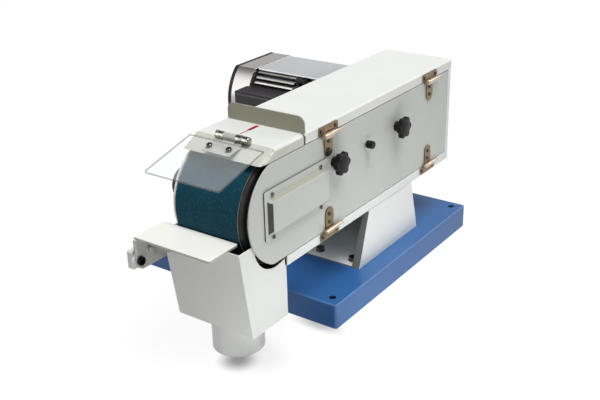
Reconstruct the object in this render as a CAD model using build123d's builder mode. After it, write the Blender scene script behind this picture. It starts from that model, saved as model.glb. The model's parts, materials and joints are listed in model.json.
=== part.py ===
from build123d import *
import os
from math import asin, atan2, cos, hypot, radians, sin, tan

# A bench belt grinder: a wide belt runs over a rubber contact wheel at the front and a
# driven wheel at the back, inside a sheet housing on a pedestal and a base tray.
# X points to the door side, the contact wheel faces -Y, and the tray stands on Z = 0.

# Base tray, a folded pan that is open underneath
base_width = 550.0
base_length = 590.0
base_height = 56.0
base_sheet = 3.0
base_corner_radius = 6.0
base_bend_radius = 4.0
base_hole_diameter = 15.5
base_hole_inset = 26.0

# Housing
housing_left = 46.0
housing_right = 227.5
housing_front = -391.0
housing_back = 280.0
housing_bottom = 178.0
housing_top = 429.0
housing_sheet = 2.5
side_plate_thickness = 4.0
lower_strip_height = 21.5
rear_strip_width = 13.0
cover_flange_height = 22.0
cover_left_flange_height = 25.0
floor_bend_radius = 3.0
cover_bend_radius = 5.0
cover_side_gap = 3.5
seam_width = 2.0

# Pedestal under the housing
pedestal_foot_width = 189.0
pedestal_head_width = 180.0
pedestal_upright_height = 24.0
pedestal_foot_front = -138.0
pedestal_foot_back = 122.0
pedestal_head_front = -88.0
pedestal_head_back = 99.0
pedestal_sheet = 3.0
pedestal_lip_width = 14.0
pedestal_bolt_middle_x = 155.5
pedestal_bolt_spacing = 87.0
pedestal_bolt_front_y = -112.0
pedestal_bolt_back_y = 90.0

# Hex bolts of the pedestal and of the motor and spindle flanges
bolt_diameter = 10.0
bolt_head_across = 17.0
bolt_head_height = 7.0
bolt_washer_diameter = 20.0
bolt_washer_thickness = 2.0
nut_height = 8.0
bolt_tail = 4.0
bolt_room = 0.25

# Contact wheel, its spindle and the bearing housing on the left of the side plate
wheel_y = -393.0
wheel_z = 299.0
wheel_radius = 110.0
wheel_left = 52.0
wheel_width = 160.0
tyre_depth = 12.0
tyre_shoulder_radius = 5.0
rim_thickness = 12.0
web_thickness = 16.0
web_hole_diameter = 34.0
web_hole_circle_diameter = 116.0
web_hole_count = 5
boss_radius = 30.0
boss_setback = 4.0
boss_end_setback = 14.0
spindle_radius = 15.0
thread_radius = 10.0
thread_length = 20.0
spindle_nut_across = 28.0
spindle_nut_height = 14.0
spindle_washer_radius = 20.0
spindle_washer_thickness = 2.0
bearing_radius = 26.0
bearing_width = 14.0
barrel_radius = 34.0
barrel_length = 76.0
barrel_end_wall = 4.0
spindle_flange_radius = 58.0
spindle_flange_thickness = 10.0
spindle_bolt_circle_diameter = 92.0
spindle_hole_room = 2.0
spindle_end_room = 2.0

# Drive wheel on the motor shaft
drive_y = 168.0
drive_z = 302.0
drive_radius = 93.0
drive_left = 54.0
drive_width = 152.0
drive_rim_thickness = 13.0
drive_boss_radius = 28.0
shaft_radius = 14.0
shaft_tail_length = 262.0
shaft_hole_radius = 35.0
running_clearance = 0.05

# Belt round both wheels
belt_width = 150.0
belt_edge = 0.5
belt_thickness = 1.4
belt_gap = 0.4

# Tension arm with its roller under the upper run
tension_y = -20.0
tension_z = 300.0
tension_plate = 3.0
tension_plate_margin = 12.0
tension_post_radius = 10.0
tension_hub_radius = 18.0
tension_arm_thickness = 10.0
tension_side_room = 0.5
tension_tip_radius = 14.0
roller_y = -110.0
roller_radius = 26.0
roller_length = 138.0
roller_side_room = 1.5
roller_axle_radius = 8.0
spring_y = -75.0
spring_pad_z = 314.0
spring_seat_z = 260.0
spring_pad_rise = 30.0
spring_seat_thickness = 6.0
spring_pad_size = 22.0
spring_radius = 9.0
spring_wire = 3.0
spring_room = 0.3

# Motor on the left of the side plate
motor_left = -222.0
motor_right = 10.0
motor_drum_radius = 78.0
motor_bore_room = 2.0
fin_left = -212.0
fin_right = -96.0
fin_radius = 103.0
fin_pitch = 11.0
fin_thickness = 3.0
fins_above = 7
fins_below = 6
terminal_left = -205.0
terminal_right = -15.0
terminal_width = 112.0
terminal_height = 82.0
lid_left = -216.0
lid_right = -5.0
lid_width = 135.0
lid_thickness = 4.0
lid_corner_radius = 6.0
end_shield_radius = 76.0
end_shield_neck = 66.0
motor_flange_radius = 100.0
motor_flange_thickness = 12.0
motor_bolt_circle_diameter = 165.0
cowl_left = -270.0
cowl_right = -217.0
cowl_radius = 113.0
cowl_flat_height = 85.5
cowl_sheet = 2.0
grille_depth = 10.0
grille_wall = 3.0
grille_slots = 20
grille_slot_length = 46.0
grille_slot_width = 7.0
grille_slot_circle_diameter = 66.0
fan_radius = 80.0
fan_disc_radius = 60.0
fan_hub_radius = 22.0
fan_left = -252.0
fan_disc_left = -232.0
fan_disc_thickness = 4.0
fan_blade_thickness = 3.0
fan_blades = 8
gland_x = -72.0
gland_drop = 15.0
gland_across = 24.0
gland_nut_length = 12.0
gland_dome_radius = 11.0
gland_dome_length = 16.0
gland_bore_radius = 6.0

# Switch box in front of the motor, with two push buttons
switch_left = -224.0
switch_right = -110.0
switch_front = 11.0
switch_back = 96.0
switch_bottom = 230.0
switch_top = 350.0
switch_corner_radius = 8.0
switch_saddle_gap = 0.2
button_x = -167.0
button_spacing = 56.0
button_z = 292.0
button_radius = 11.0
button_length = 20.0
button_proud = 4.0
button_room = 0.3
bezel_radius = 15.0
bezel_height = 6.0
button_bore_depth = 20.0

# Hood over the contact wheel and the upright deflector behind it
hood_back = -327.0
hood_bend = -418.0
hood_front = -460.0
hood_edge_radius = 9.0
deflector_sheet = 2.5
deflector_width = 186.0
deflector_height = 34.0
deflector_corner_radius = 16.0
deflector_tongue_height = 12.0
deflector_side_room = 1.0

# Dust chute under the wheel and its round spout
chute_left = 37.0
chute_width = 187.0
chute_top = 260.0
chute_bottom = 69.0
chute_front_top = -531.0
chute_front_bottom = -503.0
chute_sheet = 2.0
chute_arc_y = -422.0
chute_arc_z = 255.5
chute_arc_radius = 65.0
chute_hanger_length = 30.0
chute_hanger_inset = 14.0
spout_x = 140.0
spout_y = -447.0
spout_radius = 53.0
spout_wall = 2.0
spout_foot_height = 4.0

# Door with its cover plate
door_thickness = 3.0
door_round_radius = 110.0
door_corner_radius = 28.0
cover_plate_y = -355.0
cover_plate_z = 306.5
cover_plate_length = 206.0
cover_plate_height = 102.0
cover_plate_corner_radius = 5.0
cover_plate_sheet = 2.5
bulge_y = -350.5
bulge_z = 303.0
bulge_length = 180.0
bulge_height = 64.0
bulge_depth = 8.0
bulge_taper = 6.0
bulge_end_taper = 9.5
bulge_edge_radius = 4.0
bulge_corner_radius = 6.0
access_length = 160.0
access_height = 56.0
cover_screw_y = -356.0
cover_screw_z = 303.5
cover_screw_length = 157.0
cover_screw_height = 86.0
lock_screw_y = -100.0
lock_screw_z = 337.0
lock_washer_radius = 12.0
lock_washer_thickness = 2.0
lock_head_radius = 8.5
lock_head_height = 15.0
lock_head_edge_radius = 2.0
lock_shank_radius = 4.0
lock_shank_length = 12.0

# Pan head screws of the hinges and the cover plate
screw_radius = 2.0
screw_head_radius = 4.0
screw_head_height = 2.4
screw_tail = 3.0
screw_room = 0.2
screw_slot_width = 1.0
screw_slot_depth = 0.9

# Loose pin hinges: straps on the door, leaves on the housing
hinge_front = -247.0
hinge_rear = 171.0
hinge_standoff = 6.0
knuckle_radius = 5.5
hinge_pin_radius = 3.0
hook_room = 0.4
barrel_half = 21.0
strap_knuckle_half = 13.0
knuckle_room = 0.3
leaf_length = 66.0
leaf_height = 18.0
leaf_corner_radius = 4.0
leaf_sheet = 2.5
leaf_screw_spacing = 50.0
strap_width = 28.0
strap_length = 46.0
strap_end_radius = 13.0
strap_first_screw_height = 14.0
strap_second_screw_height = 32.0
hinge_notch_room = 0.6
pin_lead = 1.0
pin_reach = 22.0

# Star knobs that hold the door shut, and the posts that their studs enter
knob_front = -227.0
knob_rear = 22.0
knob_z = 340.0
knob_lobe_radius = 8.5
knob_lobe_circle_diameter = 32.0
knob_lobes = 6
knob_core_radius = 20.5
knob_head_thickness = 10.5
knob_hub_radius = 11.0
knob_hub_length = 15.0
knob_edge_radius = 2.5
knob_gap = 0.3
stud_radius = 5.0
stud_end_room = 2.0
stud_hole_room = 1.5
post_radius = 11.0
post_gap = 2.0
post_socket_radius = 7.5
post_socket_depth = 26.0

# Work table, its arm and the clamp on the side plate
table_left = 15.0
table_right = 200.0
table_front = -584.0
table_back = -502.0
table_top = 265.5
table_thickness = 5.0
table_corner_radius = 5.0
table_plate_thickness = 5.0
table_plate_front = -587.0
table_plate_back = -508.0
table_plate_bottom = 194.0
table_plate_corner_radius = 20.0
gusset_y = -536.0
gusset_thickness = 5.0
gusset_length = 125.0
gusset_height = 50.0
stop_head_y = -552.5
stop_head_z = 229.0
stop_head_across = 11.0
stop_head_height = 9.0
table_bolt_y = -578.0
table_bolt_z = 214.5
table_bolt_radius = 6.0
table_bolt_head_radius = 9.0
table_bolt_head_height = 6.0
table_socket_across = 8.0
table_socket_depth = 3.5
arm_left = -1.5
arm_thickness = 12.0
arm_bottom = 196.0
arm_height = 39.0
arm_front = -590.0
arm_back = -325.0
arm_corner_radius = 4.0
arm_boss_radius = 11.0
side_gap = 0.3
arm_travel = 25.0
clamp_y = -376.0
clamp_length = 60.0
clamp_height = 34.0
clamp_slot_room = 0.4
clamp_stud_depth = 24.0

# Clear eye shield on a pivot over the hood
pivot_y = -425.0
pivot_z = 435.5
pivot_middle = 132.0
pivot_knuckle_radius = 8.0
pivot_bolt_radius = 4.0
leaf_knuckle_half = 14.0
lug_length = 15.0
lug_foot_half = 6.0
pivot_head_radius = 8.5
pivot_head_length = 4.0
acorn_radius = 7.5
acorn_length = 16.0
shield_tilt = 14.0
shield_left = 46.0
shield_right = 221.0
shield_near = 18.0
shield_reach = 150.0
shield_sheet = 4.0
shield_corner_radius = 5.0
shield_rise = 0.5
shield_leaf_sheet = 2.5
shield_leaf_reach = 50.0
shield_leaf_width = 66.0
shield_leaf_start = 12.0
shield_screw_spacing = 46.0
shield_screw_reach = 36.0
shield_head_radius = 6.0
shield_head_height = 3.5
shield_nut_radius = 4.0
shield_nut_height = 3.0

# Levels and faces that several pieces share
floor_top = housing_bottom + housing_sheet
roof_under = housing_top - housing_sheet
plate_inner = housing_left + side_plate_thickness
skin_inner = housing_right - housing_sheet
strip_top = housing_bottom + lower_strip_height
flange_bottom = housing_top - cover_flange_height
back_inner = housing_back - housing_sheet
cover_left = housing_left - housing_sheet
cover_back = housing_back + housing_sheet
cover_front = hood_back + deflector_sheet
door_bottom = strip_top + seam_width
door_top = flange_bottom - seam_width
door_back = housing_back - rear_strip_width - seam_width
door_inner = housing_right - door_thickness
round_z = (door_bottom + door_top) / 2
housing_middle = (housing_left + housing_right) / 2
hinge_x = housing_right + hinge_standoff
lower_hinge_z = (strip_top + door_bottom) / 2
upper_hinge_z = (flange_bottom + door_top) / 2
strap_face = housing_right + leaf_sheet
wheel_right = wheel_left + wheel_width
drive_right = drive_left + drive_width
bolt_radius = bolt_diameter / 2
bolt_hole_radius = bolt_radius + bolt_room
bolt_hex = bolt_head_across / 2 / cos(radians(30))
hinge_bore_radius = hinge_pin_radius + running_clearance
screw_hole_radius = screw_radius + screw_room
hinge_middles = (hinge_front, hinge_rear)
knob_middles = (knob_front, knob_rear)


def block(x, y, z, mode=Mode.ADD):
    """Place a box between the given pairs of X, Y and Z limits."""
    with Locations(((x[0] + x[1]) / 2, (y[0] + y[1]) / 2, (z[0] + z[1]) / 2)):
        Box(x[1] - x[0], y[1] - y[0], z[1] - z[0], mode=mode)


def rod_x(x, y, z, radius, mode=Mode.ADD):
    """Place a round bar along X between a pair of X limits."""
    with Locations(((x[0] + x[1]) / 2, y, z)):
        Cylinder(radius, x[1] - x[0], rotation=(0, 90, 0), mode=mode)


def rod_y(x, y, z, radius, mode=Mode.ADD):
    """Place a round bar along Y between a pair of Y limits."""
    with Locations((x, (y[0] + y[1]) / 2, z)):
        Cylinder(radius, y[1] - y[0], rotation=(90, 0, 0), mode=mode)


def rod_z(x, y, z, radius, mode=Mode.ADD):
    """Place a round bar along Z between a pair of Z limits."""
    with Locations((x, y, (z[0] + z[1]) / 2)):
        Cylinder(radius, z[1] - z[0], mode=mode)


def around(y, z, diameter, count, first):
    """Points in Y and Z on a circle about a centre."""
    step = 360 / count
    turns = [radians(first + step * index) for index in range(count)]
    return [(y + diameter / 2 * cos(turn), z + diameter / 2 * sin(turn)) for turn in turns]


# Places of the fasteners
pedestal_bolts_at = [
    (pedestal_bolt_middle_x + side * pedestal_bolt_spacing / 2, y)
    for side in (-1, 1)
    for y in (pedestal_bolt_front_y, pedestal_bolt_back_y)
]
motor_bolts_at = around(drive_y, drive_z, motor_bolt_circle_diameter, 4, 45)
spindle_bolts_at = around(wheel_y, wheel_z, spindle_bolt_circle_diameter, 4, 45)
lower_leaf_top = strip_top - knuckle_room
lower_leaf_middle = lower_leaf_top - leaf_height / 2
upper_leaf_bottom = flange_bottom + knuckle_room
upper_leaf_middle = upper_leaf_bottom + leaf_height / 2
leaf_screws_lower_at = [
    (y + side * leaf_screw_spacing / 2, lower_leaf_middle)
    for y in hinge_middles
    for side in (-1, 1)
]
leaf_screws_upper_at = [
    (y + side * leaf_screw_spacing / 2, upper_leaf_middle)
    for y in hinge_middles
    for side in (-1, 1)
]
strap_screws_at = [
    (y, z)
    for y in hinge_middles
    for z in (
        door_bottom + strap_first_screw_height,
        door_bottom + strap_second_screw_height,
        door_top - strap_first_screw_height,
        door_top - strap_second_screw_height,
    )
]
cover_screws_at = [
    (cover_screw_y + side * cover_screw_length / 2, cover_screw_z + level * cover_screw_height / 2)
    for side in (-1, 1)
    for level in (-1, 1)
]

# Base tray with a bolt hole in each corner
base_hole_x = base_width - 2 * base_hole_inset
base_hole_y = base_length - 2 * base_hole_inset
with BuildPart() as base_tray:
    with BuildSketch():
        RectangleRounded(base_width, base_length, base_corner_radius)
    extrude(amount=base_height)
    fillet(base_tray.faces().sort_by(Axis.Z)[-1].edges(), base_bend_radius)
    offset(amount=-base_sheet, openings=base_tray.faces().sort_by(Axis.Z)[0])
    with GridLocations(base_hole_x, base_hole_y, 2, 2):
        Hole(base_hole_diameter / 2)
    with Locations(*pedestal_bolts_at):
        Hole(bolt_hole_radius)

# Pedestal, a sheet box with an open front between two lips, closed by a top plate
pedestal_floor_top = base_height + pedestal_sheet
pedestal_wall_top = housing_bottom - pedestal_sheet
with BuildPart() as pedestal:
    with BuildSketch(Plane.XZ):
        with BuildLine():
            Polyline(
                (housing_middle - pedestal_foot_width / 2, base_height),
                (housing_middle + pedestal_foot_width / 2, base_height),
                (housing_middle + pedestal_foot_width / 2, base_height + pedestal_upright_height),
                (housing_middle + pedestal_head_width / 2, housing_bottom),
                (housing_middle - pedestal_head_width / 2, housing_bottom),
                (housing_middle - pedestal_foot_width / 2, base_height + pedestal_upright_height),
                close=True,
            )
        make_face()
    extrude(amount=base_length, both=True)
    with BuildSketch(Plane.YZ):
        with BuildLine():
            Polyline(
                (pedestal_foot_front, base_height),
                (pedestal_foot_back, base_height),
                (pedestal_head_back, housing_bottom),
                (pedestal_head_front, housing_bottom),
                close=True,
            )
        make_face()
    extrude(amount=base_width, both=True, mode=Mode.INTERSECT)
    offset(amount=-pedestal_sheet, kind=Kind.INTERSECTION, mode=Mode.SUBTRACT)
    block(
        (
            housing_middle - pedestal_head_width / 2 + pedestal_lip_width,
            housing_middle + pedestal_head_width / 2 - pedestal_lip_width,
        ),
        (pedestal_foot_front - pedestal_sheet, pedestal_head_front + 2 * pedestal_sheet),
        (pedestal_floor_top, pedestal_wall_top),
        Mode.SUBTRACT,
    )
    split(bisect_by=Plane.XY.offset(pedestal_wall_top), keep=Keep.BOTTOM)
    for bolt_x, bolt_y in pedestal_bolts_at:
        rod_z(bolt_x, bolt_y, (base_height, pedestal_floor_top), bolt_hole_radius, Mode.SUBTRACT)
with BuildPart() as pedestal_top:
    block(
        (housing_middle - pedestal_head_width / 2, housing_middle + pedestal_head_width / 2),
        (pedestal_head_front, pedestal_head_back),
        (pedestal_wall_top, housing_bottom),
    )

# Bolts through the pedestal floor and the tray, each with its washer and nut
tray_under = base_height - base_sheet
with BuildPart() as pedestal_bolts:
    with BuildSketch(Plane.XY.offset(pedestal_floor_top)):
        with Locations(*pedestal_bolts_at):
            Circle(bolt_washer_diameter / 2)
    extrude(amount=bolt_washer_thickness)
    with BuildSketch(Plane.XY.offset(pedestal_floor_top + bolt_washer_thickness)):
        with Locations(*pedestal_bolts_at):
            RegularPolygon(bolt_hex, 6)
    extrude(amount=bolt_head_height)
    with BuildSketch(Plane.XY.offset(tray_under)):
        with Locations(*pedestal_bolts_at):
            RegularPolygon(bolt_hex, 6)
    extrude(amount=-nut_height)
    with BuildSketch(Plane.XY.offset(tray_under - nut_height - bolt_tail)):
        with Locations(*pedestal_bolts_at):
            Circle(bolt_radius)
    extrude(amount=pedestal_floor_top - tray_under + nut_height + bolt_tail)

# Side plate that carries the spindle, the motor and the sheet panels
spindle_hole_radius = bearing_radius + spindle_hole_room
with BuildPart() as side_plate:
    with BuildSketch(Plane.YZ.offset(housing_left)):
        with Locations(((housing_front + back_inner) / 2, (housing_bottom + roof_under) / 2)):
            Rectangle(back_inner - housing_front, roof_under - housing_bottom)
        with Locations((wheel_y, round_z)):
            Circle(door_round_radius)
        with Locations((wheel_y, wheel_z)):
            Circle(spindle_hole_radius, mode=Mode.SUBTRACT)
        with Locations((drive_y, drive_z)):
            Circle(shaft_hole_radius, mode=Mode.SUBTRACT)
        with Locations(*motor_bolts_at, *spindle_bolts_at):
            Circle(bolt_hole_radius, mode=Mode.SUBTRACT)
    extrude(amount=side_plate_thickness)

# Housing floor with the strip that is turned up below the door
with BuildPart() as housing_floor:
    block((plate_inner, housing_right), (housing_front, back_inner), (housing_bottom, floor_top))
    block((skin_inner, housing_right), (housing_front, back_inner), (housing_bottom, strip_top))
    fillet(
        housing_floor.edges().filter_by(Axis.Y).group_by(Axis.Z)[0].sort_by(Axis.X)[-1],
        floor_bend_radius,
    )
    for screw_y, screw_z in leaf_screws_lower_at:
        rod_x((skin_inner, housing_right), screw_y, screw_z, screw_hole_radius, Mode.SUBTRACT)

# Rear wall with the strip that is turned forward behind the door
with BuildPart() as housing_rear:
    block((housing_left, skin_inner), (back_inner, housing_back), (housing_bottom, roof_under))
    block((skin_inner, housing_right), (back_inner, housing_back), (housing_bottom, strip_top))
    block(
        (skin_inner, housing_right),
        (housing_back - rear_strip_width, housing_back),
        (strip_top, flange_bottom),
    )

# Top cover, folded down on three sides
with BuildPart() as top_cover:
    block((cover_left, housing_right), (cover_front, cover_back), (roof_under, housing_top))
    block((skin_inner, housing_right), (cover_front, cover_back), (flange_bottom, housing_top))
    block(
        (cover_left, housing_left),
        (cover_front, cover_back),
        (housing_top - cover_left_flange_height, housing_top),
    )
    block((cover_left, housing_right), (housing_back, cover_back), (flange_bottom, housing_top))
    cover_ridge = top_cover.edges().filter_by(Axis.Y).group_by(Axis.Z)[-1].sort_by(Axis.X)
    fillet([cover_ridge[0], cover_ridge[-1]], cover_bend_radius)
    block(
        (skin_inner, housing_right),
        (cover_front, cover_front + cover_side_gap),
        (flange_bottom, housing_top - cover_bend_radius),
        Mode.SUBTRACT,
    )
    for screw_y, screw_z in leaf_screws_upper_at:
        rod_x((skin_inner, housing_right), screw_y, screw_z, screw_hole_radius, Mode.SUBTRACT)

# Front hood, flat on top and sloping down over the wheel
hood_fall = housing_top - flange_bottom
hood_run = hood_bend - hood_front
with BuildPart() as front_hood:
    with BuildSketch(Plane.YZ.offset(cover_left)):
        with BuildLine():
            Polyline(
                (hood_back, flange_bottom),
                (hood_back, housing_top),
                (hood_bend, housing_top),
                (hood_front, flange_bottom),
                close=True,
            )
        make_face()
    extrude(amount=housing_right - cover_left)
    hood_top_edges = front_hood.faces().sort_by(Axis.Z)[-1].edges().sort_by(Axis.X)
    hood_slope_edges = front_hood.faces().sort_by(Axis.Y)[0].edges().sort_by(Axis.X)
    fillet([hood_top_edges[-1], hood_slope_edges[-1]], hood_edge_radius)
    offset(
        amount=-housing_sheet,
        openings=[
            front_hood.faces().sort_by(Axis.Z)[0],
            front_hood.faces().sort_by(Axis.Y)[-1],
        ],
    )

# Upright deflector between the hood and the top cover
with BuildPart() as deflector_plate:
    with BuildSketch(Plane.XZ.offset(-hood_back)) as deflector_outline:
        with Locations((housing_middle, housing_top + deflector_height / 2)):
            Rectangle(deflector_width, deflector_height)
        fillet(deflector_outline.vertices().group_by(Axis.Y)[-1], deflector_corner_radius)
    extrude(amount=-deflector_sheet)
    block(
        (plate_inner + deflector_side_room, skin_inner - deflector_side_room),
        (hood_back, cover_front),
        (housing_top - deflector_tongue_height, housing_top),
    )

# Dust chute, open at the top under the wheel, hung from the housing floor
chute_right = chute_left + chute_width
with BuildPart() as dust_chute:
    with BuildSketch(Plane.YZ.offset(chute_left)):
        with BuildLine():
            Polyline(
                (chute_front_top, chute_top),
                (housing_front, chute_top),
                (housing_front, chute_bottom),
                (chute_front_bottom, chute_bottom),
                close=True,
            )
        make_face()
    extrude(amount=chute_width)
    offset(
        amount=-chute_sheet,
        kind=Kind.INTERSECTION,
        openings=dust_chute.faces().sort_by(Axis.Z)[-1],
    )
    rod_x((chute_left, chute_right), chute_arc_y, chute_arc_z, chute_arc_radius, Mode.SUBTRACT)
    block(
        (chute_left, chute_right),
        (housing_front - 2 * chute_sheet, housing_front),
        (housing_bottom, chute_top),
        Mode.SUBTRACT,
    )
    rod_z(
        spout_x,
        spout_y,
        (chute_bottom, chute_bottom + chute_sheet),
        spout_radius - spout_wall,
        Mode.SUBTRACT,
    )
    block(
        (chute_left + chute_hanger_inset, chute_right - chute_hanger_inset),
        (housing_front - chute_sheet, housing_front + chute_hanger_length),
        (housing_bottom - chute_sheet, housing_bottom),
    )

# Round spout for a hose
with BuildPart() as dust_spout:
    rod_z(spout_x, spout_y, (spout_foot_height, chute_bottom), spout_radius)
    rod_z(spout_x, spout_y, (spout_foot_height, chute_bottom), spout_radius - spout_wall, Mode.SUBTRACT)

# Spindle housing with a closed outer end
barrel_end = housing_left - barrel_length
barrel_floor = barrel_end + barrel_end_wall
with BuildPart() as spindle_housing:
    rod_x((barrel_end, housing_left), wheel_y, wheel_z, barrel_radius)
    rod_x(
        (housing_left - spindle_flange_thickness, housing_left),
        wheel_y,
        wheel_z,
        spindle_flange_radius,
    )
    rod_x((barrel_floor, housing_left), wheel_y, wheel_z, bearing_radius, Mode.SUBTRACT)
    chamfer(
        spindle_housing.faces().sort_by(Axis.X)[0].outer_wire().edges(),
        barrel_end_wall / 2,
    )
    for bolt_y, bolt_z in spindle_bolts_at:
        rod_x(
            (housing_left - spindle_flange_thickness, housing_left),
            bolt_y,
            bolt_z,
            bolt_hole_radius,
            Mode.SUBTRACT,
        )

# Two bearings in the spindle housing
with BuildPart() as spindle_bearings:
    for bearing_start in (barrel_floor, housing_left - bearing_width):
        bearing_span = (bearing_start, bearing_start + bearing_width)
        rod_x(bearing_span, wheel_y, wheel_z, bearing_radius)
        rod_x(bearing_span, wheel_y, wheel_z, spindle_radius + running_clearance, Mode.SUBTRACT)

# Motor body with level cooling fins and the terminal box cast on
terminal_top = drive_z + terminal_height
with BuildPart() as motor_frame:
    for level in range(-fins_below, fins_above + 1):
        fin_z = drive_z + level * fin_pitch
        block(
            (fin_left, fin_right),
            (drive_y - fin_radius, drive_y + fin_radius),
            (fin_z - fin_thickness / 2, fin_z + fin_thickness / 2),
        )
    rod_x((fin_left, fin_right), drive_y, drive_z, fin_radius, Mode.INTERSECT)
    block(
        (fin_left, fin_right),
        (drive_y - fin_radius, drive_y + fin_radius),
        (terminal_top, terminal_top + fin_radius),
        Mode.SUBTRACT,
    )
    rod_x((motor_left, motor_right), drive_y, drive_z, motor_drum_radius)
    block(
        (terminal_left, terminal_right),
        (drive_y - terminal_width / 2, drive_y + terminal_width / 2),
        (drive_z, terminal_top),
    )
    rod_x(
        (motor_left, motor_right),
        drive_y,
        drive_z,
        shaft_radius + motor_bore_room,
        Mode.SUBTRACT,
    )

# Motor end shield and flange, which carries the shaft
flange_start = housing_left - motor_flange_thickness
motor_plane = Plane(origin=(0, drive_y, drive_z), x_dir=(1, 0, 0), z_dir=(0, -1, 0))
motor_axis = Axis((0, drive_y, drive_z), (1, 0, 0))
with BuildPart() as motor_flange:
    with BuildSketch(motor_plane):
        with BuildLine():
            Polyline(
                (motor_right, shaft_radius + running_clearance),
                (motor_right, end_shield_radius),
                ((motor_right + flange_start) / 2, end_shield_radius),
                (flange_start, end_shield_neck),
                (flange_start, motor_flange_radius),
                (housing_left, motor_flange_radius),
                (housing_left, shaft_radius + running_clearance),
                close=True,
            )
        make_face()
    revolve(axis=motor_axis)
    for bolt_y, bolt_z in motor_bolts_at:
        rod_x((flange_start, housing_left), bolt_y, bolt_z, bolt_hole_radius, Mode.SUBTRACT)

# Bolts of the motor flange and the spindle flange, screwed into the side plate
spindle_flange_start = housing_left - spindle_flange_thickness
with BuildPart() as flange_bolts:
    with BuildSketch(Plane.YZ.offset(flange_start)):
        with Locations(*motor_bolts_at):
            RegularPolygon(bolt_hex, 6)
    extrude(amount=-bolt_head_height)
    with BuildSketch(Plane.YZ.offset(flange_start)):
        with Locations(*motor_bolts_at):
            Circle(bolt_radius)
    extrude(amount=plate_inner - flange_start)
    with BuildSketch(Plane.YZ.offset(spindle_flange_start)):
        with Locations(*spindle_bolts_at):
            RegularPolygon(bolt_hex, 6)
    extrude(amount=-bolt_head_height)
    with BuildSketch(Plane.YZ.offset(spindle_flange_start)):
        with Locations(*spindle_bolts_at):
            Circle(bolt_radius)
    extrude(amount=plate_inner - spindle_flange_start)

# Fan cowl, round with a flat top
with BuildPart() as motor_cowl:
    with BuildSketch(Plane.YZ.offset(cowl_left)):
        with Locations((drive_y, drive_z)):
            Circle(cowl_radius)
        with Locations((drive_y, drive_z + cowl_flat_height + cowl_radius)):
            Rectangle(2 * cowl_radius, 2 * cowl_radius, mode=Mode.SUBTRACT)
    extrude(amount=cowl_right - cowl_left)
    offset(amount=-cowl_sheet, openings=motor_cowl.faces().sort_by(Axis.X)[0])
    rod_x((cowl_left, cowl_right), drive_y, drive_z, motor_drum_radius, Mode.SUBTRACT)

# Slotted end of the cowl
grille_end = cowl_left - grille_depth
with BuildPart() as cowl_grille:
    with BuildSketch(Plane.YZ.offset(grille_end)):
        with Locations((drive_y, drive_z)):
            Circle(cowl_radius)
        with Locations((drive_y, drive_z + cowl_flat_height + cowl_radius)):
            Rectangle(2 * cowl_radius, 2 * cowl_radius, mode=Mode.SUBTRACT)
    extrude(amount=grille_depth)
    offset(amount=-grille_wall, openings=cowl_grille.faces().sort_by(Axis.X)[-1])
    with BuildSketch(Plane.YZ.offset(grille_end)):
        with Locations((drive_y, drive_z)):
            with PolarLocations(grille_slot_circle_diameter / 2 + grille_slot_length / 2, grille_slots):
                SlotOverall(grille_slot_length, grille_slot_width)
    extrude(amount=grille_wall, mode=Mode.SUBTRACT)

# Lid of the terminal box
with BuildPart() as terminal_lid:
    block(
        (lid_left, lid_right),
        (drive_y - lid_width / 2, drive_y + lid_width / 2),
        (terminal_top, terminal_top + lid_thickness),
    )
    fillet(terminal_lid.edges().filter_by(Axis.Z), lid_corner_radius)

# Cable gland in the front of the terminal box
gland_z = terminal_top - gland_drop
terminal_front = drive_y - terminal_width / 2
with BuildPart() as cable_gland:
    with BuildSketch(Plane.XZ.offset(-terminal_front)):
        with Locations((gland_x, gland_z)):
            RegularPolygon(gland_across / 2, 6, major_radius=False)
    extrude(amount=gland_nut_length)
    rod_y(
        gland_x,
        (terminal_front - gland_nut_length - gland_dome_length, terminal_front - gland_nut_length),
        gland_z,
        gland_dome_radius,
    )
    fillet(
        cable_gland.faces().sort_by(Axis.Y)[0].outer_wire().edges(),
        (gland_dome_radius - gland_bore_radius) / 2,
    )
    rod_y(
        gland_x,
        (terminal_front - gland_nut_length - gland_dome_length, terminal_front),
        gland_z,
        gland_bore_radius,
        Mode.SUBTRACT,
    )

# Switch box, hollowed to sit against the motor fins and the cowl
start_x = button_x + button_spacing / 2
stop_x = button_x - button_spacing / 2
bezel_front = switch_front - bezel_height
with BuildPart() as switch_box:
    block((switch_left, switch_right), (switch_front, switch_back), (switch_bottom, switch_top))
    fillet(switch_box.faces().sort_by(Axis.Y)[0].edges(), switch_corner_radius)
    rod_x(
        (cowl_right, switch_right),
        drive_y,
        drive_z,
        fin_radius + switch_saddle_gap,
        Mode.SUBTRACT,
    )
    rod_x(
        (switch_left, cowl_right + switch_saddle_gap),
        drive_y,
        drive_z,
        cowl_radius + switch_saddle_gap,
        Mode.SUBTRACT,
    )
    for bezel_x in (start_x, stop_x):
        rod_y(bezel_x, (bezel_front, switch_front), button_z, bezel_radius)
        rod_y(
            bezel_x,
            (bezel_front, bezel_front + button_bore_depth + bezel_height),
            button_z,
            button_radius + button_room,
            Mode.SUBTRACT,
        )

# Push buttons
button_front = bezel_front - button_proud
with BuildPart() as start_button:
    rod_y(start_x, (button_front, button_front + button_length), button_z, button_radius)
    fillet(start_button.faces().sort_by(Axis.Y)[0].edges(), button_room)
with BuildPart() as stop_button:
    rod_y(stop_x, (button_front, button_front + button_length), button_z, button_radius)
    fillet(stop_button.faces().sort_by(Axis.Y)[0].edges(), button_room)

# Posts on the side plate that the knob studs enter
post_end = door_inner - post_gap
with BuildPart() as latch_posts:
    for post_y in knob_middles:
        rod_x((plate_inner, post_end), post_y, knob_z, post_radius)
        rod_x(
            (post_end - post_socket_depth, post_end),
            post_y,
            knob_z,
            post_socket_radius,
            Mode.SUBTRACT,
        )

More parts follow.
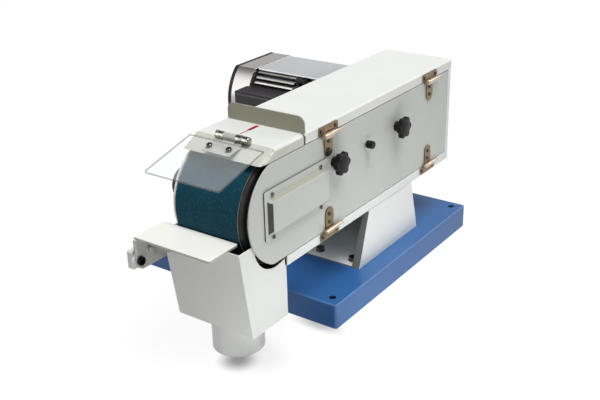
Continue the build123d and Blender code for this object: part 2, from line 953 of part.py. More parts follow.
# Hinge leaves on the lower strip and on the flange of the top cover
fixed_start = strap_knuckle_half
notch_half = strap_knuckle_half + knuckle_room
leaf_clear = knuckle_radius - knuckle_room
with BuildPart() as hinge_leaves:
    for middle in hinge_middles:
        with BuildSketch(Plane.YZ.offset(housing_right)):
            with Locations((middle, lower_leaf_middle), (middle, upper_leaf_middle)):
                RectangleRounded(leaf_length, leaf_height, leaf_corner_radius)
        extrude(amount=leaf_sheet)
        for hinge_z in (lower_hinge_z, upper_hinge_z):
            block(
                (housing_right, strap_face),
                (middle - notch_half, middle + notch_half),
                (hinge_z - leaf_clear, hinge_z + leaf_clear),
                Mode.SUBTRACT,
            )
            rod_y(hinge_x, (middle - barrel_half, middle - fixed_start), hinge_z, knuckle_radius)
            rod_y(hinge_x, (middle + fixed_start, middle + barrel_half), hinge_z, knuckle_radius)
            rod_y(
                hinge_x,
                (middle - barrel_half, middle + barrel_half),
                hinge_z,
                hinge_bore_radius,
                Mode.SUBTRACT,
            )
    for screw_y, screw_z in leaf_screws_lower_at + leaf_screws_upper_at:
        rod_x((housing_right, strap_face), screw_y, screw_z, screw_hole_radius, Mode.SUBTRACT)

# Screws of the leaves
with BuildPart() as leaf_screws:
    for screw_y, screw_z in leaf_screws_lower_at + leaf_screws_upper_at:
        rod_x((skin_inner - screw_tail, strap_face), screw_y, screw_z, screw_radius)
        rod_x((strap_face, strap_face + screw_head_height), screw_y, screw_z, screw_head_radius)
        block(
            (strap_face + screw_head_height - screw_slot_depth, strap_face + screw_head_height),
            (screw_y - screw_head_radius, screw_y + screw_head_radius),
            (screw_z - screw_slot_width / 2, screw_z + screw_slot_width / 2),
            Mode.SUBTRACT,
        )

# Straps on the door: whole knuckles below, hooks that leave the pins above
moving_half = strap_knuckle_half - knuckle_room
wide_bottom = lower_hinge_z + knuckle_radius + knuckle_room
wide_top = upper_hinge_z - knuckle_radius - hinge_notch_room
lower_strap_end = door_bottom + strap_length
upper_strap_end = door_top - strap_length
hook_inner = hinge_pin_radius + hook_room
with BuildPart() as hinge_straps:
    for middle in hinge_middles:
        with BuildSketch(Plane.YZ.offset(housing_right)) as lower_strap:
            with Locations((middle, (wide_bottom + lower_strap_end) / 2)):
                Rectangle(strap_width, lower_strap_end - wide_bottom)
            fillet(lower_strap.vertices().group_by(Axis.Y)[-1], strap_end_radius)
        extrude(amount=leaf_sheet)
        block(
            (housing_right, strap_face),
            (middle - moving_half, middle + moving_half),
            (door_bottom, wide_bottom),
        )
        rod_y(hinge_x, (middle - moving_half, middle + moving_half), lower_hinge_z, knuckle_radius)
        rod_y(
            hinge_x,
            (middle - moving_half, middle + moving_half),
            lower_hinge_z,
            hinge_bore_radius,
            Mode.SUBTRACT,
        )
        with BuildSketch(Plane.YZ.offset(housing_right)) as upper_strap:
            with Locations((middle, (upper_strap_end + wide_top) / 2)):
                Rectangle(strap_width, wide_top - upper_strap_end)
            fillet(upper_strap.vertices().group_by(Axis.Y)[0], strap_end_radius)
        extrude(amount=leaf_sheet)
        rod_y(hinge_x, (middle - moving_half, middle + moving_half), upper_hinge_z, knuckle_radius)
        block(
            (housing_right, hinge_x),
            (middle - moving_half, middle + moving_half),
            (wide_top - leaf_sheet, upper_hinge_z - hook_inner),
        )
        rod_y(
            hinge_x,
            (middle - moving_half, middle + moving_half),
            upper_hinge_z,
            hook_inner,
            Mode.SUBTRACT,
        )
        block(
            (housing_right, hinge_x),
            (middle - moving_half, middle + moving_half),
            (upper_hinge_z - hook_inner, upper_hinge_z + hook_inner),
            Mode.SUBTRACT,
        )
    for screw_y, screw_z in strap_screws_at:
        rod_x((housing_right, strap_face), screw_y, screw_z, screw_hole_radius, Mode.SUBTRACT)

# Door: straight behind, round in front of the wheel
with BuildPart() as door_panel:
    with BuildSketch(Plane.YZ.offset(door_inner)) as door_outline:
        with Locations((wheel_y, round_z)):
            Circle(door_round_radius)
        with Locations(((wheel_y + door_back) / 2, round_z)):
            Rectangle(door_back - wheel_y, door_top - door_bottom)
        with Locations((wheel_y, round_z)):
            Rectangle(4 * door_round_radius, door_top - door_bottom, mode=Mode.INTERSECT)
        with Locations(((wheel_y + door_back) / 2, round_z)):
            Rectangle(door_back - wheel_y, door_top - door_bottom)
        door_front_corners = door_outline.vertices().sort_by(Axis.X)[0:2]
        fillet(door_front_corners, door_corner_radius)
        for middle in hinge_middles:
            with Locations((middle, door_top)):
                Rectangle(
                    2 * (barrel_half + hinge_notch_room),
                    2 * (door_top - wide_top),
                    mode=Mode.SUBTRACT,
                )
        with Locations((bulge_y, bulge_z)):
            RectangleRounded(access_length, access_height, bulge_corner_radius, mode=Mode.SUBTRACT)
        with Locations(*[(y, knob_z) for y in knob_middles]):
            Circle(stud_radius + stud_hole_room, mode=Mode.SUBTRACT)
        with Locations(*strap_screws_at, *cover_screws_at):
            Circle(screw_hole_radius, mode=Mode.SUBTRACT)
        with Locations((lock_screw_y, lock_screw_z)):
            Circle(lock_shank_radius, mode=Mode.SUBTRACT)
    extrude(amount=door_thickness)

# Cover plate on the door, pressed out in the middle
cover_face = housing_right + cover_plate_sheet
with BuildPart() as door_cover:
    with BuildSketch(Plane.YZ.offset(housing_right)):
        with Locations((cover_plate_y, cover_plate_z)):
            RectangleRounded(cover_plate_length, cover_plate_height, cover_plate_corner_radius)
    extrude(amount=cover_plate_sheet)
    with BuildSketch(Plane.YZ.offset(cover_face)):
        with Locations((bulge_y, bulge_z)):
            RectangleRounded(
                bulge_length + 2 * bulge_end_taper,
                bulge_height + 2 * bulge_taper,
                bulge_corner_radius,
            )
    with BuildSketch(Plane.YZ.offset(cover_face + bulge_depth)):
        with Locations((bulge_y, bulge_z)):
            RectangleRounded(bulge_length, bulge_height, bulge_corner_radius)
    loft(ruled=True)
    fillet(door_cover.faces().sort_by(Axis.X)[-1].edges(), bulge_edge_radius)
    with BuildSketch(Plane.YZ.offset(housing_right)):
        with Locations((bulge_y, bulge_z)):
            RectangleRounded(
                bulge_length + 2 * bulge_end_taper - 2 * cover_plate_sheet,
                bulge_height + 2 * bulge_taper - 2 * cover_plate_sheet,
                bulge_corner_radius,
            )
    with BuildSketch(Plane.YZ.offset(housing_right + bulge_depth)):
        with Locations((bulge_y, bulge_z)):
            RectangleRounded(
                bulge_length - 2 * cover_plate_sheet,
                bulge_height - 2 * cover_plate_sheet,
                bulge_corner_radius,
            )
    loft(ruled=True, mode=Mode.SUBTRACT)
    for screw_y, screw_z in cover_screws_at:
        rod_x((housing_right, cover_face), screw_y, screw_z, screw_hole_radius, Mode.SUBTRACT)

# Screws of the straps and of the cover plate
with BuildPart() as door_screws:
    for places, seat in ((strap_screws_at, strap_face), (cover_screws_at, cover_face)):
        for screw_y, screw_z in places:
            rod_x((door_inner - screw_tail, seat), screw_y, screw_z, screw_radius)
            rod_x((seat, seat + screw_head_height), screw_y, screw_z, screw_head_radius)
            block(
                (seat + screw_head_height - screw_slot_depth, seat + screw_head_height),
                (screw_y - screw_head_radius, screw_y + screw_head_radius),
                (screw_z - screw_slot_width / 2, screw_z + screw_slot_width / 2),
                Mode.SUBTRACT,
            )

# Black lock knob with a washer between the star knobs
lock_seat = housing_right + lock_washer_thickness
with BuildPart() as door_lock_screw:
    rod_x((housing_right, lock_seat), lock_screw_y, lock_screw_z, lock_washer_radius)
    rod_x((lock_seat, lock_seat + lock_head_height), lock_screw_y, lock_screw_z, lock_head_radius)
    fillet(door_lock_screw.faces().sort_by(Axis.X)[-1].edges(), lock_head_edge_radius)
    rod_x(
        (housing_right - lock_shank_length, lock_seat),
        lock_screw_y,
        lock_screw_z,
        lock_shank_radius,
    )

# Star knobs with moulded studs: two on the door, and one that clamps the table arm
hub_start = housing_right + knob_gap
head_start = hub_start + knob_hub_length
stud_end = post_end - post_socket_depth + stud_end_room
with BuildPart() as front_knob:
    with BuildSketch(Plane.YZ.offset(head_start)):
        with Locations((knob_front, knob_z)):
            Circle(knob_core_radius)
            with PolarLocations(knob_lobe_circle_diameter / 2, knob_lobes):
                Circle(knob_lobe_radius)
    extrude(amount=knob_head_thickness)
    fillet(front_knob.faces().sort_by(Axis.X)[-1].edges(), knob_edge_radius)
    rod_x((hub_start, head_start), knob_front, knob_z, knob_hub_radius)
    rod_x((stud_end, hub_start), knob_front, knob_z, stud_radius)
with BuildPart() as rear_knob:
    with BuildSketch(Plane.YZ.offset(head_start)):
        with Locations((knob_rear, knob_z)):
            Circle(knob_core_radius)
            with PolarLocations(knob_lobe_circle_diameter / 2, knob_lobes):
                Circle(knob_lobe_radius)
    extrude(amount=knob_head_thickness)
    fillet(rear_knob.faces().sort_by(Axis.X)[-1].edges(), knob_edge_radius)
    rod_x((hub_start, head_start), knob_rear, knob_z, knob_hub_radius)
    rod_x((stud_end, hub_start), knob_rear, knob_z, stud_radius)
arm_middle_z = arm_bottom + arm_height / 2
arm_right = arm_left + arm_thickness
clamp_hub = arm_left - knob_gap
clamp_head = clamp_hub - knob_hub_length
clamp_face = arm_right + side_gap
with BuildPart() as arm_knob:
    with BuildSketch(Plane.YZ.offset(clamp_head)):
        with Locations((clamp_y, arm_middle_z)):
            Circle(knob_core_radius)
            with PolarLocations(knob_lobe_circle_diameter / 2, knob_lobes):
                Circle(knob_lobe_radius)
    extrude(amount=-knob_head_thickness)
    fillet(arm_knob.faces().sort_by(Axis.X)[0].edges(), knob_edge_radius)
    rod_x((clamp_head, clamp_hub), clamp_y, arm_middle_z, knob_hub_radius)
    rod_x((clamp_hub, clamp_face + clamp_stud_depth), clamp_y, arm_middle_z, stud_radius)

# Clamp block on the side plate that the table arm slides along
with BuildPart() as arm_bracket:
    block(
        (clamp_face, housing_left),
        (clamp_y - clamp_length / 2, clamp_y + clamp_length / 2),
        (arm_middle_z - clamp_height / 2, arm_middle_z + clamp_height / 2),
    )
    rod_x(
        (clamp_face, clamp_face + clamp_stud_depth + side_gap),
        clamp_y,
        arm_middle_z,
        stud_radius + running_clearance,
        Mode.SUBTRACT,
    )

# Loose hinge pins
with BuildPart() as lower_front_pin:
    rod_y(
        hinge_x,
        (hinge_front - barrel_half - pin_lead, hinge_front + barrel_half + pin_reach),
        lower_hinge_z,
        hinge_pin_radius,
    )
with BuildPart() as lower_rear_pin:
    rod_y(
        hinge_x,
        (hinge_rear - barrel_half - pin_lead, hinge_rear + barrel_half + pin_reach),
        lower_hinge_z,
        hinge_pin_radius,
    )
with BuildPart() as upper_front_pin:
    rod_y(
        hinge_x,
        (hinge_front - barrel_half - pin_lead, hinge_front + barrel_half + pin_reach),
        upper_hinge_z,
        hinge_pin_radius,
    )
with BuildPart() as upper_rear_pin:
    rod_y(
        hinge_x,
        (hinge_rear - barrel_half - pin_lead, hinge_rear + barrel_half + pin_reach),
        upper_hinge_z,
        hinge_pin_radius,
    )

# Contact wheel: turned hub, rubber tyre, spindle and its nut
wheel_plane = Plane(origin=(0, wheel_y, wheel_z), x_dir=(1, 0, 0), z_dir=(0, -1, 0))
wheel_axis = Axis((0, wheel_y, wheel_z), (1, 0, 0))
rim_radius = wheel_radius - tyre_depth
wheel_middle = wheel_left + wheel_width / 2
hub_left = wheel_left + boss_setback
hub_right = wheel_right - boss_end_setback
with BuildPart() as wheel_hub:
    with BuildSketch(wheel_plane):
        with Locations((wheel_middle, rim_radius - rim_thickness / 2)):
            Rectangle(wheel_width, rim_thickness)
        with Locations((wheel_middle, (spindle_radius + rim_radius) / 2)):
            Rectangle(web_thickness, rim_radius - spindle_radius)
        with Locations(((hub_left + hub_right) / 2, (spindle_radius + boss_radius) / 2)):
            Rectangle(hub_right - hub_left, boss_radius - spindle_radius)
    revolve(axis=wheel_axis)
    with BuildSketch(Plane.YZ.offset(wheel_middle)):
        with Locations((wheel_y, wheel_z)):
            with PolarLocations(web_hole_circle_diameter / 2, web_hole_count):
                Circle(web_hole_diameter / 2)
    extrude(amount=web_thickness, both=True, mode=Mode.SUBTRACT)
with BuildPart() as wheel_tyre:
    rod_x((wheel_left, wheel_right), wheel_y, wheel_z, wheel_radius)
    fillet(wheel_tyre.edges().filter_by(GeomType.CIRCLE), tyre_shoulder_radius)
    rod_x((wheel_left, wheel_right), wheel_y, wheel_z, rim_radius, Mode.SUBTRACT)
with BuildPart() as wheel_spindle:
    rod_x((barrel_floor + spindle_end_room, hub_right), wheel_y, wheel_z, spindle_radius)
    rod_x((hub_right, hub_right + thread_length), wheel_y, wheel_z, thread_radius)
nut_start = hub_right + spindle_washer_thickness
with BuildPart() as spindle_nut:
    rod_x((hub_right, nut_start), wheel_y, wheel_z, spindle_washer_radius)
    with BuildSketch(Plane.YZ.offset(nut_start)):
        with Locations((wheel_y, wheel_z)):
            RegularPolygon(spindle_nut_across / 2, 6, major_radius=False)
    extrude(amount=spindle_nut_height)
    rod_x(
        (hub_right, nut_start + spindle_nut_height),
        wheel_y,
        wheel_z,
        thread_radius,
        Mode.SUBTRACT,
    )

# Drive wheel, motor shaft and cooling fan
drive_middle = drive_left + drive_width / 2
with BuildPart() as drive_wheel:
    with BuildSketch(motor_plane):
        with Locations((drive_middle, drive_radius - drive_rim_thickness / 2)):
            Rectangle(drive_width, drive_rim_thickness)
        with Locations((drive_middle, (shaft_radius + drive_radius) / 2)):
            Rectangle(web_thickness, drive_radius - shaft_radius)
        with Locations((drive_middle, (shaft_radius + drive_boss_radius) / 2)):
            Rectangle(drive_width - 2 * boss_end_setback, drive_boss_radius - shaft_radius)
    revolve(axis=motor_axis)
with BuildPart() as motor_shaft:
    rod_x((-shaft_tail_length, drive_right - boss_end_setback), drive_y, drive_z, shaft_radius)
with BuildPart() as motor_fan:
    fan_disc = (fan_disc_left, fan_disc_left + fan_disc_thickness)
    rod_x(fan_disc, drive_y, drive_z, fan_disc_radius)
    with BuildSketch(Plane.YZ.offset(fan_left)):
        with Locations((drive_y, drive_z)):
            with PolarLocations((fan_radius + shaft_radius) / 2, fan_blades):
                Rectangle(fan_radius - shaft_radius, fan_blade_thickness)
    extrude(amount=fan_disc_left - fan_left)
    rod_x((fan_left, fan_disc[1]), drive_y, drive_z, fan_hub_radius)
    rod_x((fan_left, fan_disc[1]), drive_y, drive_z, shaft_radius, Mode.SUBTRACT)

# Belt, a closed loop just clear of both wheels
belt_left = wheel_left + belt_edge
belt_inside = belt_gap
belt_outside = belt_gap + belt_thickness
with BuildPart() as sanding_belt:
    with BuildSketch(Plane.YZ.offset(belt_left)):
        with Locations((wheel_y, wheel_z)):
            Circle(wheel_radius + belt_outside)
        with Locations((drive_y, drive_z)):
            Circle(drive_radius + belt_outside)
        make_hull()
    extrude(amount=belt_width)
    with BuildSketch(Plane.YZ.offset(belt_left)):
        with Locations((wheel_y, wheel_z)):
            Circle(wheel_radius + belt_inside)
        with Locations((drive_y, drive_z)):
            Circle(drive_radius + belt_inside)
        make_hull()
    extrude(amount=belt_width, mode=Mode.SUBTRACT)

# The roller touches the upper run from below, on the line that is tangent to both wheels
span = hypot(drive_y - wheel_y, drive_z - wheel_z)
run_lean = asin((wheel_radius - drive_radius) / span) - atan2(drive_z - wheel_z, drive_y - wheel_y)
roller_reach = wheel_radius - roller_radius
roller_z = wheel_z + (sin(run_lean) * (wheel_y - roller_y) + roller_reach) / cos(run_lean)
tension_plate_face = plate_inner + tension_plate
tension_arm_left = tension_plate_face + tension_side_room
tension_arm_right = tension_arm_left + tension_arm_thickness
roller_left = tension_arm_right + roller_side_room
spring_x = tension_plate_face + spring_pad_size / 2
with BuildPart() as tension_bracket:
    block(
        (plate_inner, tension_plate_face),
        (
            spring_y - spring_pad_size / 2 - tension_plate_margin,
            tension_y + tension_post_radius + tension_plate_margin,
        ),
        (
            spring_seat_z - tension_plate_margin,
            tension_z + tension_post_radius + tension_plate_margin,
        ),
    )
    rod_x((tension_plate_face, roller_left), tension_y, tension_z, tension_post_radius)
    block(
        (tension_plate_face, tension_plate_face + spring_pad_size),
        (spring_y - spring_pad_size / 2, spring_y + spring_pad_size / 2),
        (spring_seat_z - spring_seat_thickness, spring_seat_z),
    )
with BuildPart() as tension_arm:
    with BuildSketch(Plane.YZ.offset(tension_arm_left)):
        with Locations((tension_y, tension_z)):
            Circle(tension_hub_radius)
        with Locations((roller_y, roller_z)):
            Circle(tension_tip_radius)
        make_hull()
    extrude(amount=tension_arm_thickness)
    block(
        (tension_arm_left, tension_plate_face + spring_pad_size),
        (spring_y - spring_pad_size / 2, spring_y + spring_pad_size / 2),
        (spring_pad_z, spring_pad_z + spring_pad_rise),
    )
    rod_x(
        (tension_arm_left, tension_arm_right),
        tension_y,
        tension_z,
        tension_post_radius + running_clearance,
        Mode.SUBTRACT,
    )
    rod_x(
        (tension_arm_right, roller_left + roller_length + roller_side_room),
        roller_y,
        roller_z,
        roller_axle_radius,
    )
with BuildPart() as tracking_roller:
    roller_span = (roller_left, roller_left + roller_length)
    rod_x(roller_span, roller_y, roller_z, roller_radius)
    rod_x(roller_span, roller_y, roller_z, roller_axle_radius + running_clearance, Mode.SUBTRACT)
with BuildPart() as tension_spring:
    spring_span = (spring_seat_z + spring_room, spring_pad_z - spring_room)
    rod_z(spring_x, spring_y, spring_span, spring_radius)
    rod_z(spring_x, spring_y, spring_span, spring_radius - spring_wire, Mode.SUBTRACT)

# Work table welded to an upright plate with a gusset, and a hex stop on the plate
table_under = table_top - table_thickness
plate_right = table_left + table_plate_thickness
with BuildPart() as work_table:
    block((table_left, table_right), (table_front, table_back), (table_under, table_top))
    fillet(work_table.edges().filter_by(Axis.Z).group_by(Axis.X)[-1], table_corner_radius)
    with BuildSketch(Plane.YZ.offset(table_left)) as plate_outline:
        with Locations(
            (
                (table_plate_front + table_plate_back) / 2,
                (table_plate_bottom + table_under) / 2,
            )
        ):
            Rectangle(table_plate_back - table_plate_front, table_under - table_plate_bottom)
        fillet(
            plate_outline.vertices().group_by(Axis.Y)[0].sort_by(Axis.X)[0],
            table_plate_corner_radius,
        )
        with Locations((table_bolt_y, table_bolt_z)):
            Circle(table_bolt_radius + running_clearance, mode=Mode.SUBTRACT)
    extrude(amount=table_plate_thickness)
    with BuildSketch(Plane.XZ.offset(-gusset_y)):
        with BuildLine():
            Polyline(
                (plate_right, table_under),
                (plate_right + gusset_length, table_under),
                (plate_right, table_under - gusset_height),
                close=True,
            )
        make_face()
    extrude(amount=gusset_thickness)
    with BuildSketch(Plane.YZ.offset(plate_right)):
        with Locations((stop_head_y, stop_head_z)):
            RegularPolygon(stop_head_across / 2, 6, major_radius=False)
    extrude(amount=stop_head_height)

# Arm of the table, a flat bar with a boss at the front and a slot for the clamp
boss_end = table_left - side_gap
with BuildPart() as table_arm:
    with BuildSketch(Plane.YZ.offset(arm_left)):
        with Locations(((arm_front + arm_back) / 2, arm_middle_z)):
            RectangleRounded(arm_back - arm_front, arm_height, arm_corner_radius)
        with Locations((clamp_y + arm_travel / 2, arm_middle_z)):
            SlotCenterToCenter(
                arm_travel,
                2 * (stud_radius + clamp_slot_room),
                mode=Mode.SUBTRACT,
            )
    extrude(amount=arm_thickness)
    rod_x((arm_right, boss_end), table_bolt_y, table_bolt_z, arm_boss_radius)
    rod_x((arm_left, boss_end), table_bolt_y, table_bolt_z, table_bolt_radius, Mode.SUBTRACT)

# Bolt that the table tilts on
bolt_seat = plate_right + side_gap
with BuildPart() as table_bolt:
    rod_x((arm_left, bolt_seat), table_bolt_y, table_bolt_z, table_bolt_radius)
    rod_x(
        (bolt_seat, bolt_seat + table_bolt_head_height),
        table_bolt_y,
        table_bolt_z,
        table_bolt_head_radius,
    )
    with BuildSketch(Plane.YZ.offset(bolt_seat + table_bolt_head_height)):
        with Locations((table_bolt_y, table_bolt_z)):
            RegularPolygon(table_socket_across / 2, 6, major_radius=False)
    extrude(amount=-table_socket_depth, mode=Mode.SUBTRACT)

# Pivot of the eye shield: two lugs on the sloping part of the hood and a bolt
slope = hood_fall / hood_run
lug_back_z = housing_top - (hood_bend - pivot_y - lug_foot_half) * slope
lug_front_z = housing_top - (hood_bend - pivot_y + lug_foot_half) * slope
lug_left = (
    pivot_middle - leaf_knuckle_half - side_gap - lug_length,
    pivot_middle - leaf_knuckle_half - side_gap,
)
lug_right = (
    pivot_middle + leaf_knuckle_half + side_gap,
    pivot_middle + leaf_knuckle_half + side_gap + lug_length,
)
with BuildPart() as shield_lugs:
    for lug in (lug_left, lug_right):
        rod_x(lug, pivot_y, pivot_z, pivot_knuckle_radius)
        with BuildSketch(Plane.YZ.offset(lug[0])):
            with BuildLine():
                Polyline(
                    (pivot_y - lug_foot_half, pivot_z),
                    (pivot_y - lug_foot_half, lug_front_z),
                    (pivot_y + lug_foot_half, lug_back_z),
                    (pivot_y + lug_foot_half, pivot_z),
                    close=True,
                )
            make_face()
        extrude(amount=lug_length)
        rod_x(lug, pivot_y, pivot_z, pivot_bolt_radius, Mode.SUBTRACT)
with BuildPart() as shield_bolt:
    rod_x((lug_left[0] - pivot_head_length, lug_left[0]), pivot_y, pivot_z, pivot_head_radius)
    rod_x((lug_left[0], lug_right[1]), pivot_y, pivot_z, pivot_bolt_radius)
    rod_x((lug_right[1], lug_right[1] + acorn_length), pivot_y, pivot_z, acorn_radius)
    fillet(
        shield_bolt.faces().sort_by(Axis.X)[-1].edges(),
        acorn_radius - pivot_bolt_radius,
    )

# Shield and the leaf that carries it, both on a plane that slopes to the front
shield_plane = Plane(
    origin=(pivot_middle, pivot_y, pivot_z),
    x_dir=(1, 0, 0),
    z_dir=(0, -sin(radians(shield_tilt)), cos(radians(shield_tilt))),
)
shield_under = shield_rise - shield_sheet
shield_middle = (shield_left + shield_right) / 2 - pivot_middle
shield_screws_at = [
    (side * shield_screw_spacing / 2, -shield_screw_reach) for side in (-1, 1)
]
with BuildPart() as eye_shield:
    with BuildSketch(shield_plane.offset(shield_under)) as shield_outline:
        with Locations((shield_middle, -(shield_near + shield_reach) / 2)):
            Rectangle(shield_right - shield_left, shield_reach - shield_near)
        fillet(shield_outline.vertices().group_by(Axis.Y)[0], shield_corner_radius)
        with Locations(*shield_screws_at):
            Circle(screw_hole_radius, mode=Mode.SUBTRACT)
    extrude(amount=shield_sheet)
with BuildPart() as shield_leaf:
    with BuildSketch(shield_plane.offset(shield_under - shield_leaf_sheet)):
        with Locations((0, -(shield_leaf_start + shield_leaf_reach) / 2)):
            Rectangle(shield_leaf_width, shield_leaf_reach - shield_leaf_start)
        with Locations((0, -shield_leaf_reach / 2)):
            Rectangle(2 * leaf_knuckle_half, shield_leaf_reach)
        with Locations(*shield_screws_at):
            Circle(screw_hole_radius, mode=Mode.SUBTRACT)
    extrude(amount=shield_leaf_sheet)
    leaf_knuckle = (pivot_middle - leaf_knuckle_half, pivot_middle + leaf_knuckle_half)
    rod_x(leaf_knuckle, pivot_y, pivot_z, pivot_knuckle_radius)
    rod_x(
        leaf_knuckle,
        pivot_y,
        pivot_z,
        pivot_bolt_radius + running_clearance,
        Mode.SUBTRACT,
    )
with BuildPart() as shield_screws:
    with BuildSketch(shield_plane.offset(shield_rise)):
        with Locations(*shield_screws_at):
            Circle(shield_head_radius)
    extrude(amount=shield_head_height)
    with BuildSketch(shield_plane.offset(shield_under - shield_leaf_sheet - shield_nut_height)):
        with Locations(*shield_screws_at):
            RegularPolygon(shield_nut_radius, 6)
    extrude(amount=shield_nut_height)
    with BuildSketch(shield_plane.offset(shield_under - shield_leaf_sheet)):
        with Locations(*shield_screws_at):
            Circle(screw_radius)
    extrude(amount=shield_leaf_sheet + shield_sheet)

pieces = {
    "base_tray": base_tray,
    "pedestal": pedestal,
    "pedestal_top": pedestal_top,
    "pedestal_bolts": pedestal_bolts,
    "side_plate": side_plate,
    "housing_floor": housing_floor,
    "housing_rear": housing_rear,
    "top_cover": top_cover,
    "front_hood": front_hood,
    "deflector_plate": deflector_plate,
    "dust_chute": dust_chute,
    "dust_spout": dust_spout,
    "spindle_housing": spindle_housing,
    "spindle_bearings": spindle_bearings,
    "motor_frame": motor_frame,
    "motor_flange": motor_flange,
    "flange_bolts": flange_bolts,
    "motor_cowl": motor_cowl,
    "cowl_grille": cowl_grille,
    "terminal_lid": terminal_lid,
    "cable_gland": cable_gland,
    "switch_box": switch_box,
    "start_button": start_button,
    "stop_button": stop_button,
    "latch_posts": latch_posts,
    "hinge_leaves": hinge_leaves,
    "leaf_screws": leaf_screws,
    "hinge_straps": hinge_straps,
    "door_panel": door_panel,
    "door_cover": door_cover,
    "door_screws": door_screws,
    "door_lock_screw": door_lock_screw,
    "front_knob": front_knob,
    "rear_knob": rear_knob,
    "arm_knob": arm_knob,
    "arm_bracket": arm_bracket,
    "lower_front_pin": lower_front_pin,
    "lower_rear_pin": lower_rear_pin,
    "upper_front_pin": upper_front_pin,
    "upper_rear_pin": upper_rear_pin,
    "wheel_hub": wheel_hub,
    "wheel_tyre": wheel_tyre,
    "wheel_spindle": wheel_spindle,
    "spindle_nut": spindle_nut,
    "drive_wheel": drive_wheel,
    "motor_shaft": motor_shaft,
    "motor_fan": motor_fan,
    "sanding_belt": sanding_belt,
    "tension_bracket": tension_bracket,
    "tension_arm": tension_arm,
    "tracking_roller": tracking_roller,
    "tension_spring": tension_spring,
    "work_table": work_table,
    "table_arm": table_arm,
    "table_bolt": table_bolt,
    "shield_lugs": shield_lugs,
    "shield_bolt": shield_bolt,
    "eye_shield": eye_shield,
    "shield_leaf": shield_leaf,
    "shield_screws": shield_screws,
}
os.makedirs("parts", exist_ok=True)
for name, piece in pieces.items():
    piece.part.label = name
    export_step(piece.part, f"parts/{name}.step")
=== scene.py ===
"""Looks of a bench belt grinder: finishes, edges, fine pieces, studio and camera around its solids."""

import json
import logging
import math
from collections.abc import Callable, Sequence
from dataclasses import dataclass
from enum import Enum
from typing import Any

import bmesh
import bpy
from mathutils import Matrix, Vector


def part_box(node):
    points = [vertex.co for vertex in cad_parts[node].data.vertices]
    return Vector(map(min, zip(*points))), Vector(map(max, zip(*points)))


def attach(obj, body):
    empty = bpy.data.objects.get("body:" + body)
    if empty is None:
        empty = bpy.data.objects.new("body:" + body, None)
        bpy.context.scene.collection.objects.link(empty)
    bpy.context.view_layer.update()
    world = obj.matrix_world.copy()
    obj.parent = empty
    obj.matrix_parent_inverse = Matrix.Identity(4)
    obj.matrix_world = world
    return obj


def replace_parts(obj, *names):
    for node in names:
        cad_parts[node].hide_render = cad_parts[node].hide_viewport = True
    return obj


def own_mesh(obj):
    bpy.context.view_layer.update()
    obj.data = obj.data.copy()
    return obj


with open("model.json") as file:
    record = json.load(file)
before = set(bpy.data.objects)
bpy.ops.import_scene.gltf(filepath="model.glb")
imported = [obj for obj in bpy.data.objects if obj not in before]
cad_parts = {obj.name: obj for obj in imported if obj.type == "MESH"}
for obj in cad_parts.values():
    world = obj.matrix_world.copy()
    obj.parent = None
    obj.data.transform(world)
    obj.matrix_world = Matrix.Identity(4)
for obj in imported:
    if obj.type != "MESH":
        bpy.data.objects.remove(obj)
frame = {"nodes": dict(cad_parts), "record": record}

LOG = logging.getLogger("belt_grinder")
MM = 0.001
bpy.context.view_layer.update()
BODY_OF = {node: body for body, nodes in frame["record"]["behaviour"]["bodies"].items() for node in nodes}
# Layer that marks the faces of rounded edges
EDGE = "edge"
# Corners of a solid, and of a shape made here, that lie nearer than this are one
WELD_MM = 0.002
SEAM_MM = 0.001
# Faces that turn less than this are one flat face, and edges that turn more than this look sharp
FLAT_DEG = 0.4
SHARP_DEG = 50.0
# Least part of a normal along an axis with which a face counts as square to it
SQUARE = 0.985
# Range in which most values of a noise pattern lie
PATCHES = {"From Min": 0.3, "From Max": 0.7}
WHITE = (1.0, 1.0, 1.0, 1.0)

Colour = tuple[float, float, float, float]
Pair = tuple[float, float]
Point = tuple[float, float, float]
# A soft oval's middle, its half widths, and the share of light left in its middle
Oval = tuple[Point, Point, float]
Face = bmesh.types.BMFace
Mesh = bmesh.types.BMesh
Piece = bpy.types.Object
Socket = bpy.types.NodeSocket
Tree = bpy.types.NodeTree


def linear(code: str) -> Colour:
    """Turn an sRGB hex colour into linear light.

    Args:
        code: Six hex digits after a hash sign.

    Returns:
        Red, green, blue and an alpha of one.
    """
    parts = [int(code[place : place + 2], 16) / 255 for place in (1, 3, 5)]
    red, green, blue = [p / 12.92 if p <= 0.04045 else ((p + 0.055) / 1.055) ** 2.4 for p in parts]
    return red, green, blue, 1.0


def per_metre(size_mm: float) -> float:
    """Return the pattern scale at which one blotch has this size."""
    return 1 / (size_mm * MM)


def empty_tree(owner: bpy.types.Material | bpy.types.World) -> Tree:
    """Switch on the nodes of a material or world, and clear them.

    Args:
        owner: Material or world.

    Returns:
        Its empty node tree.
    """
    owner.use_nodes = True
    owner.node_tree.nodes.clear()
    return owner.node_tree


def add_node(
    tree: Tree, kind: str, inputs: dict[Any, Any] | None = None, **settings: Any
) -> bpy.types.Node:
    """Add one shader node with its settings, values and links.

    Args:
        tree: Node tree that gets it.
        kind: Node type without its "ShaderNode" prefix.
        inputs: For each input socket a fixed value, or the node or output socket that feeds it.
        settings: Properties of the node itself.

    Returns:
        The new node.
    """
    node = tree.nodes.new("ShaderNode" + kind)
    for name, value in settings.items():
        setattr(node, name, value)
    for name, value in (inputs or {}).items():
        if isinstance(value, bpy.types.Node):
            value = value.outputs[0]
        if isinstance(value, Socket):
            tree.links.new(value, node.inputs[name])
        else:
            node.inputs[name].default_value = value
    return node


class Grain(Enum):
    """Direction of a brushed or turned surface, as the squeeze of its pattern along X, Y and Z."""

    ALONG_X = (0.02, 1.0, 1.0)
    ALONG_Y = (1.0, 0.02, 1.0)
    ALONG_Z = (1.0, 1.0, 0.02)
    TURNED_ON_X = (1.0, 0.06, 0.06)


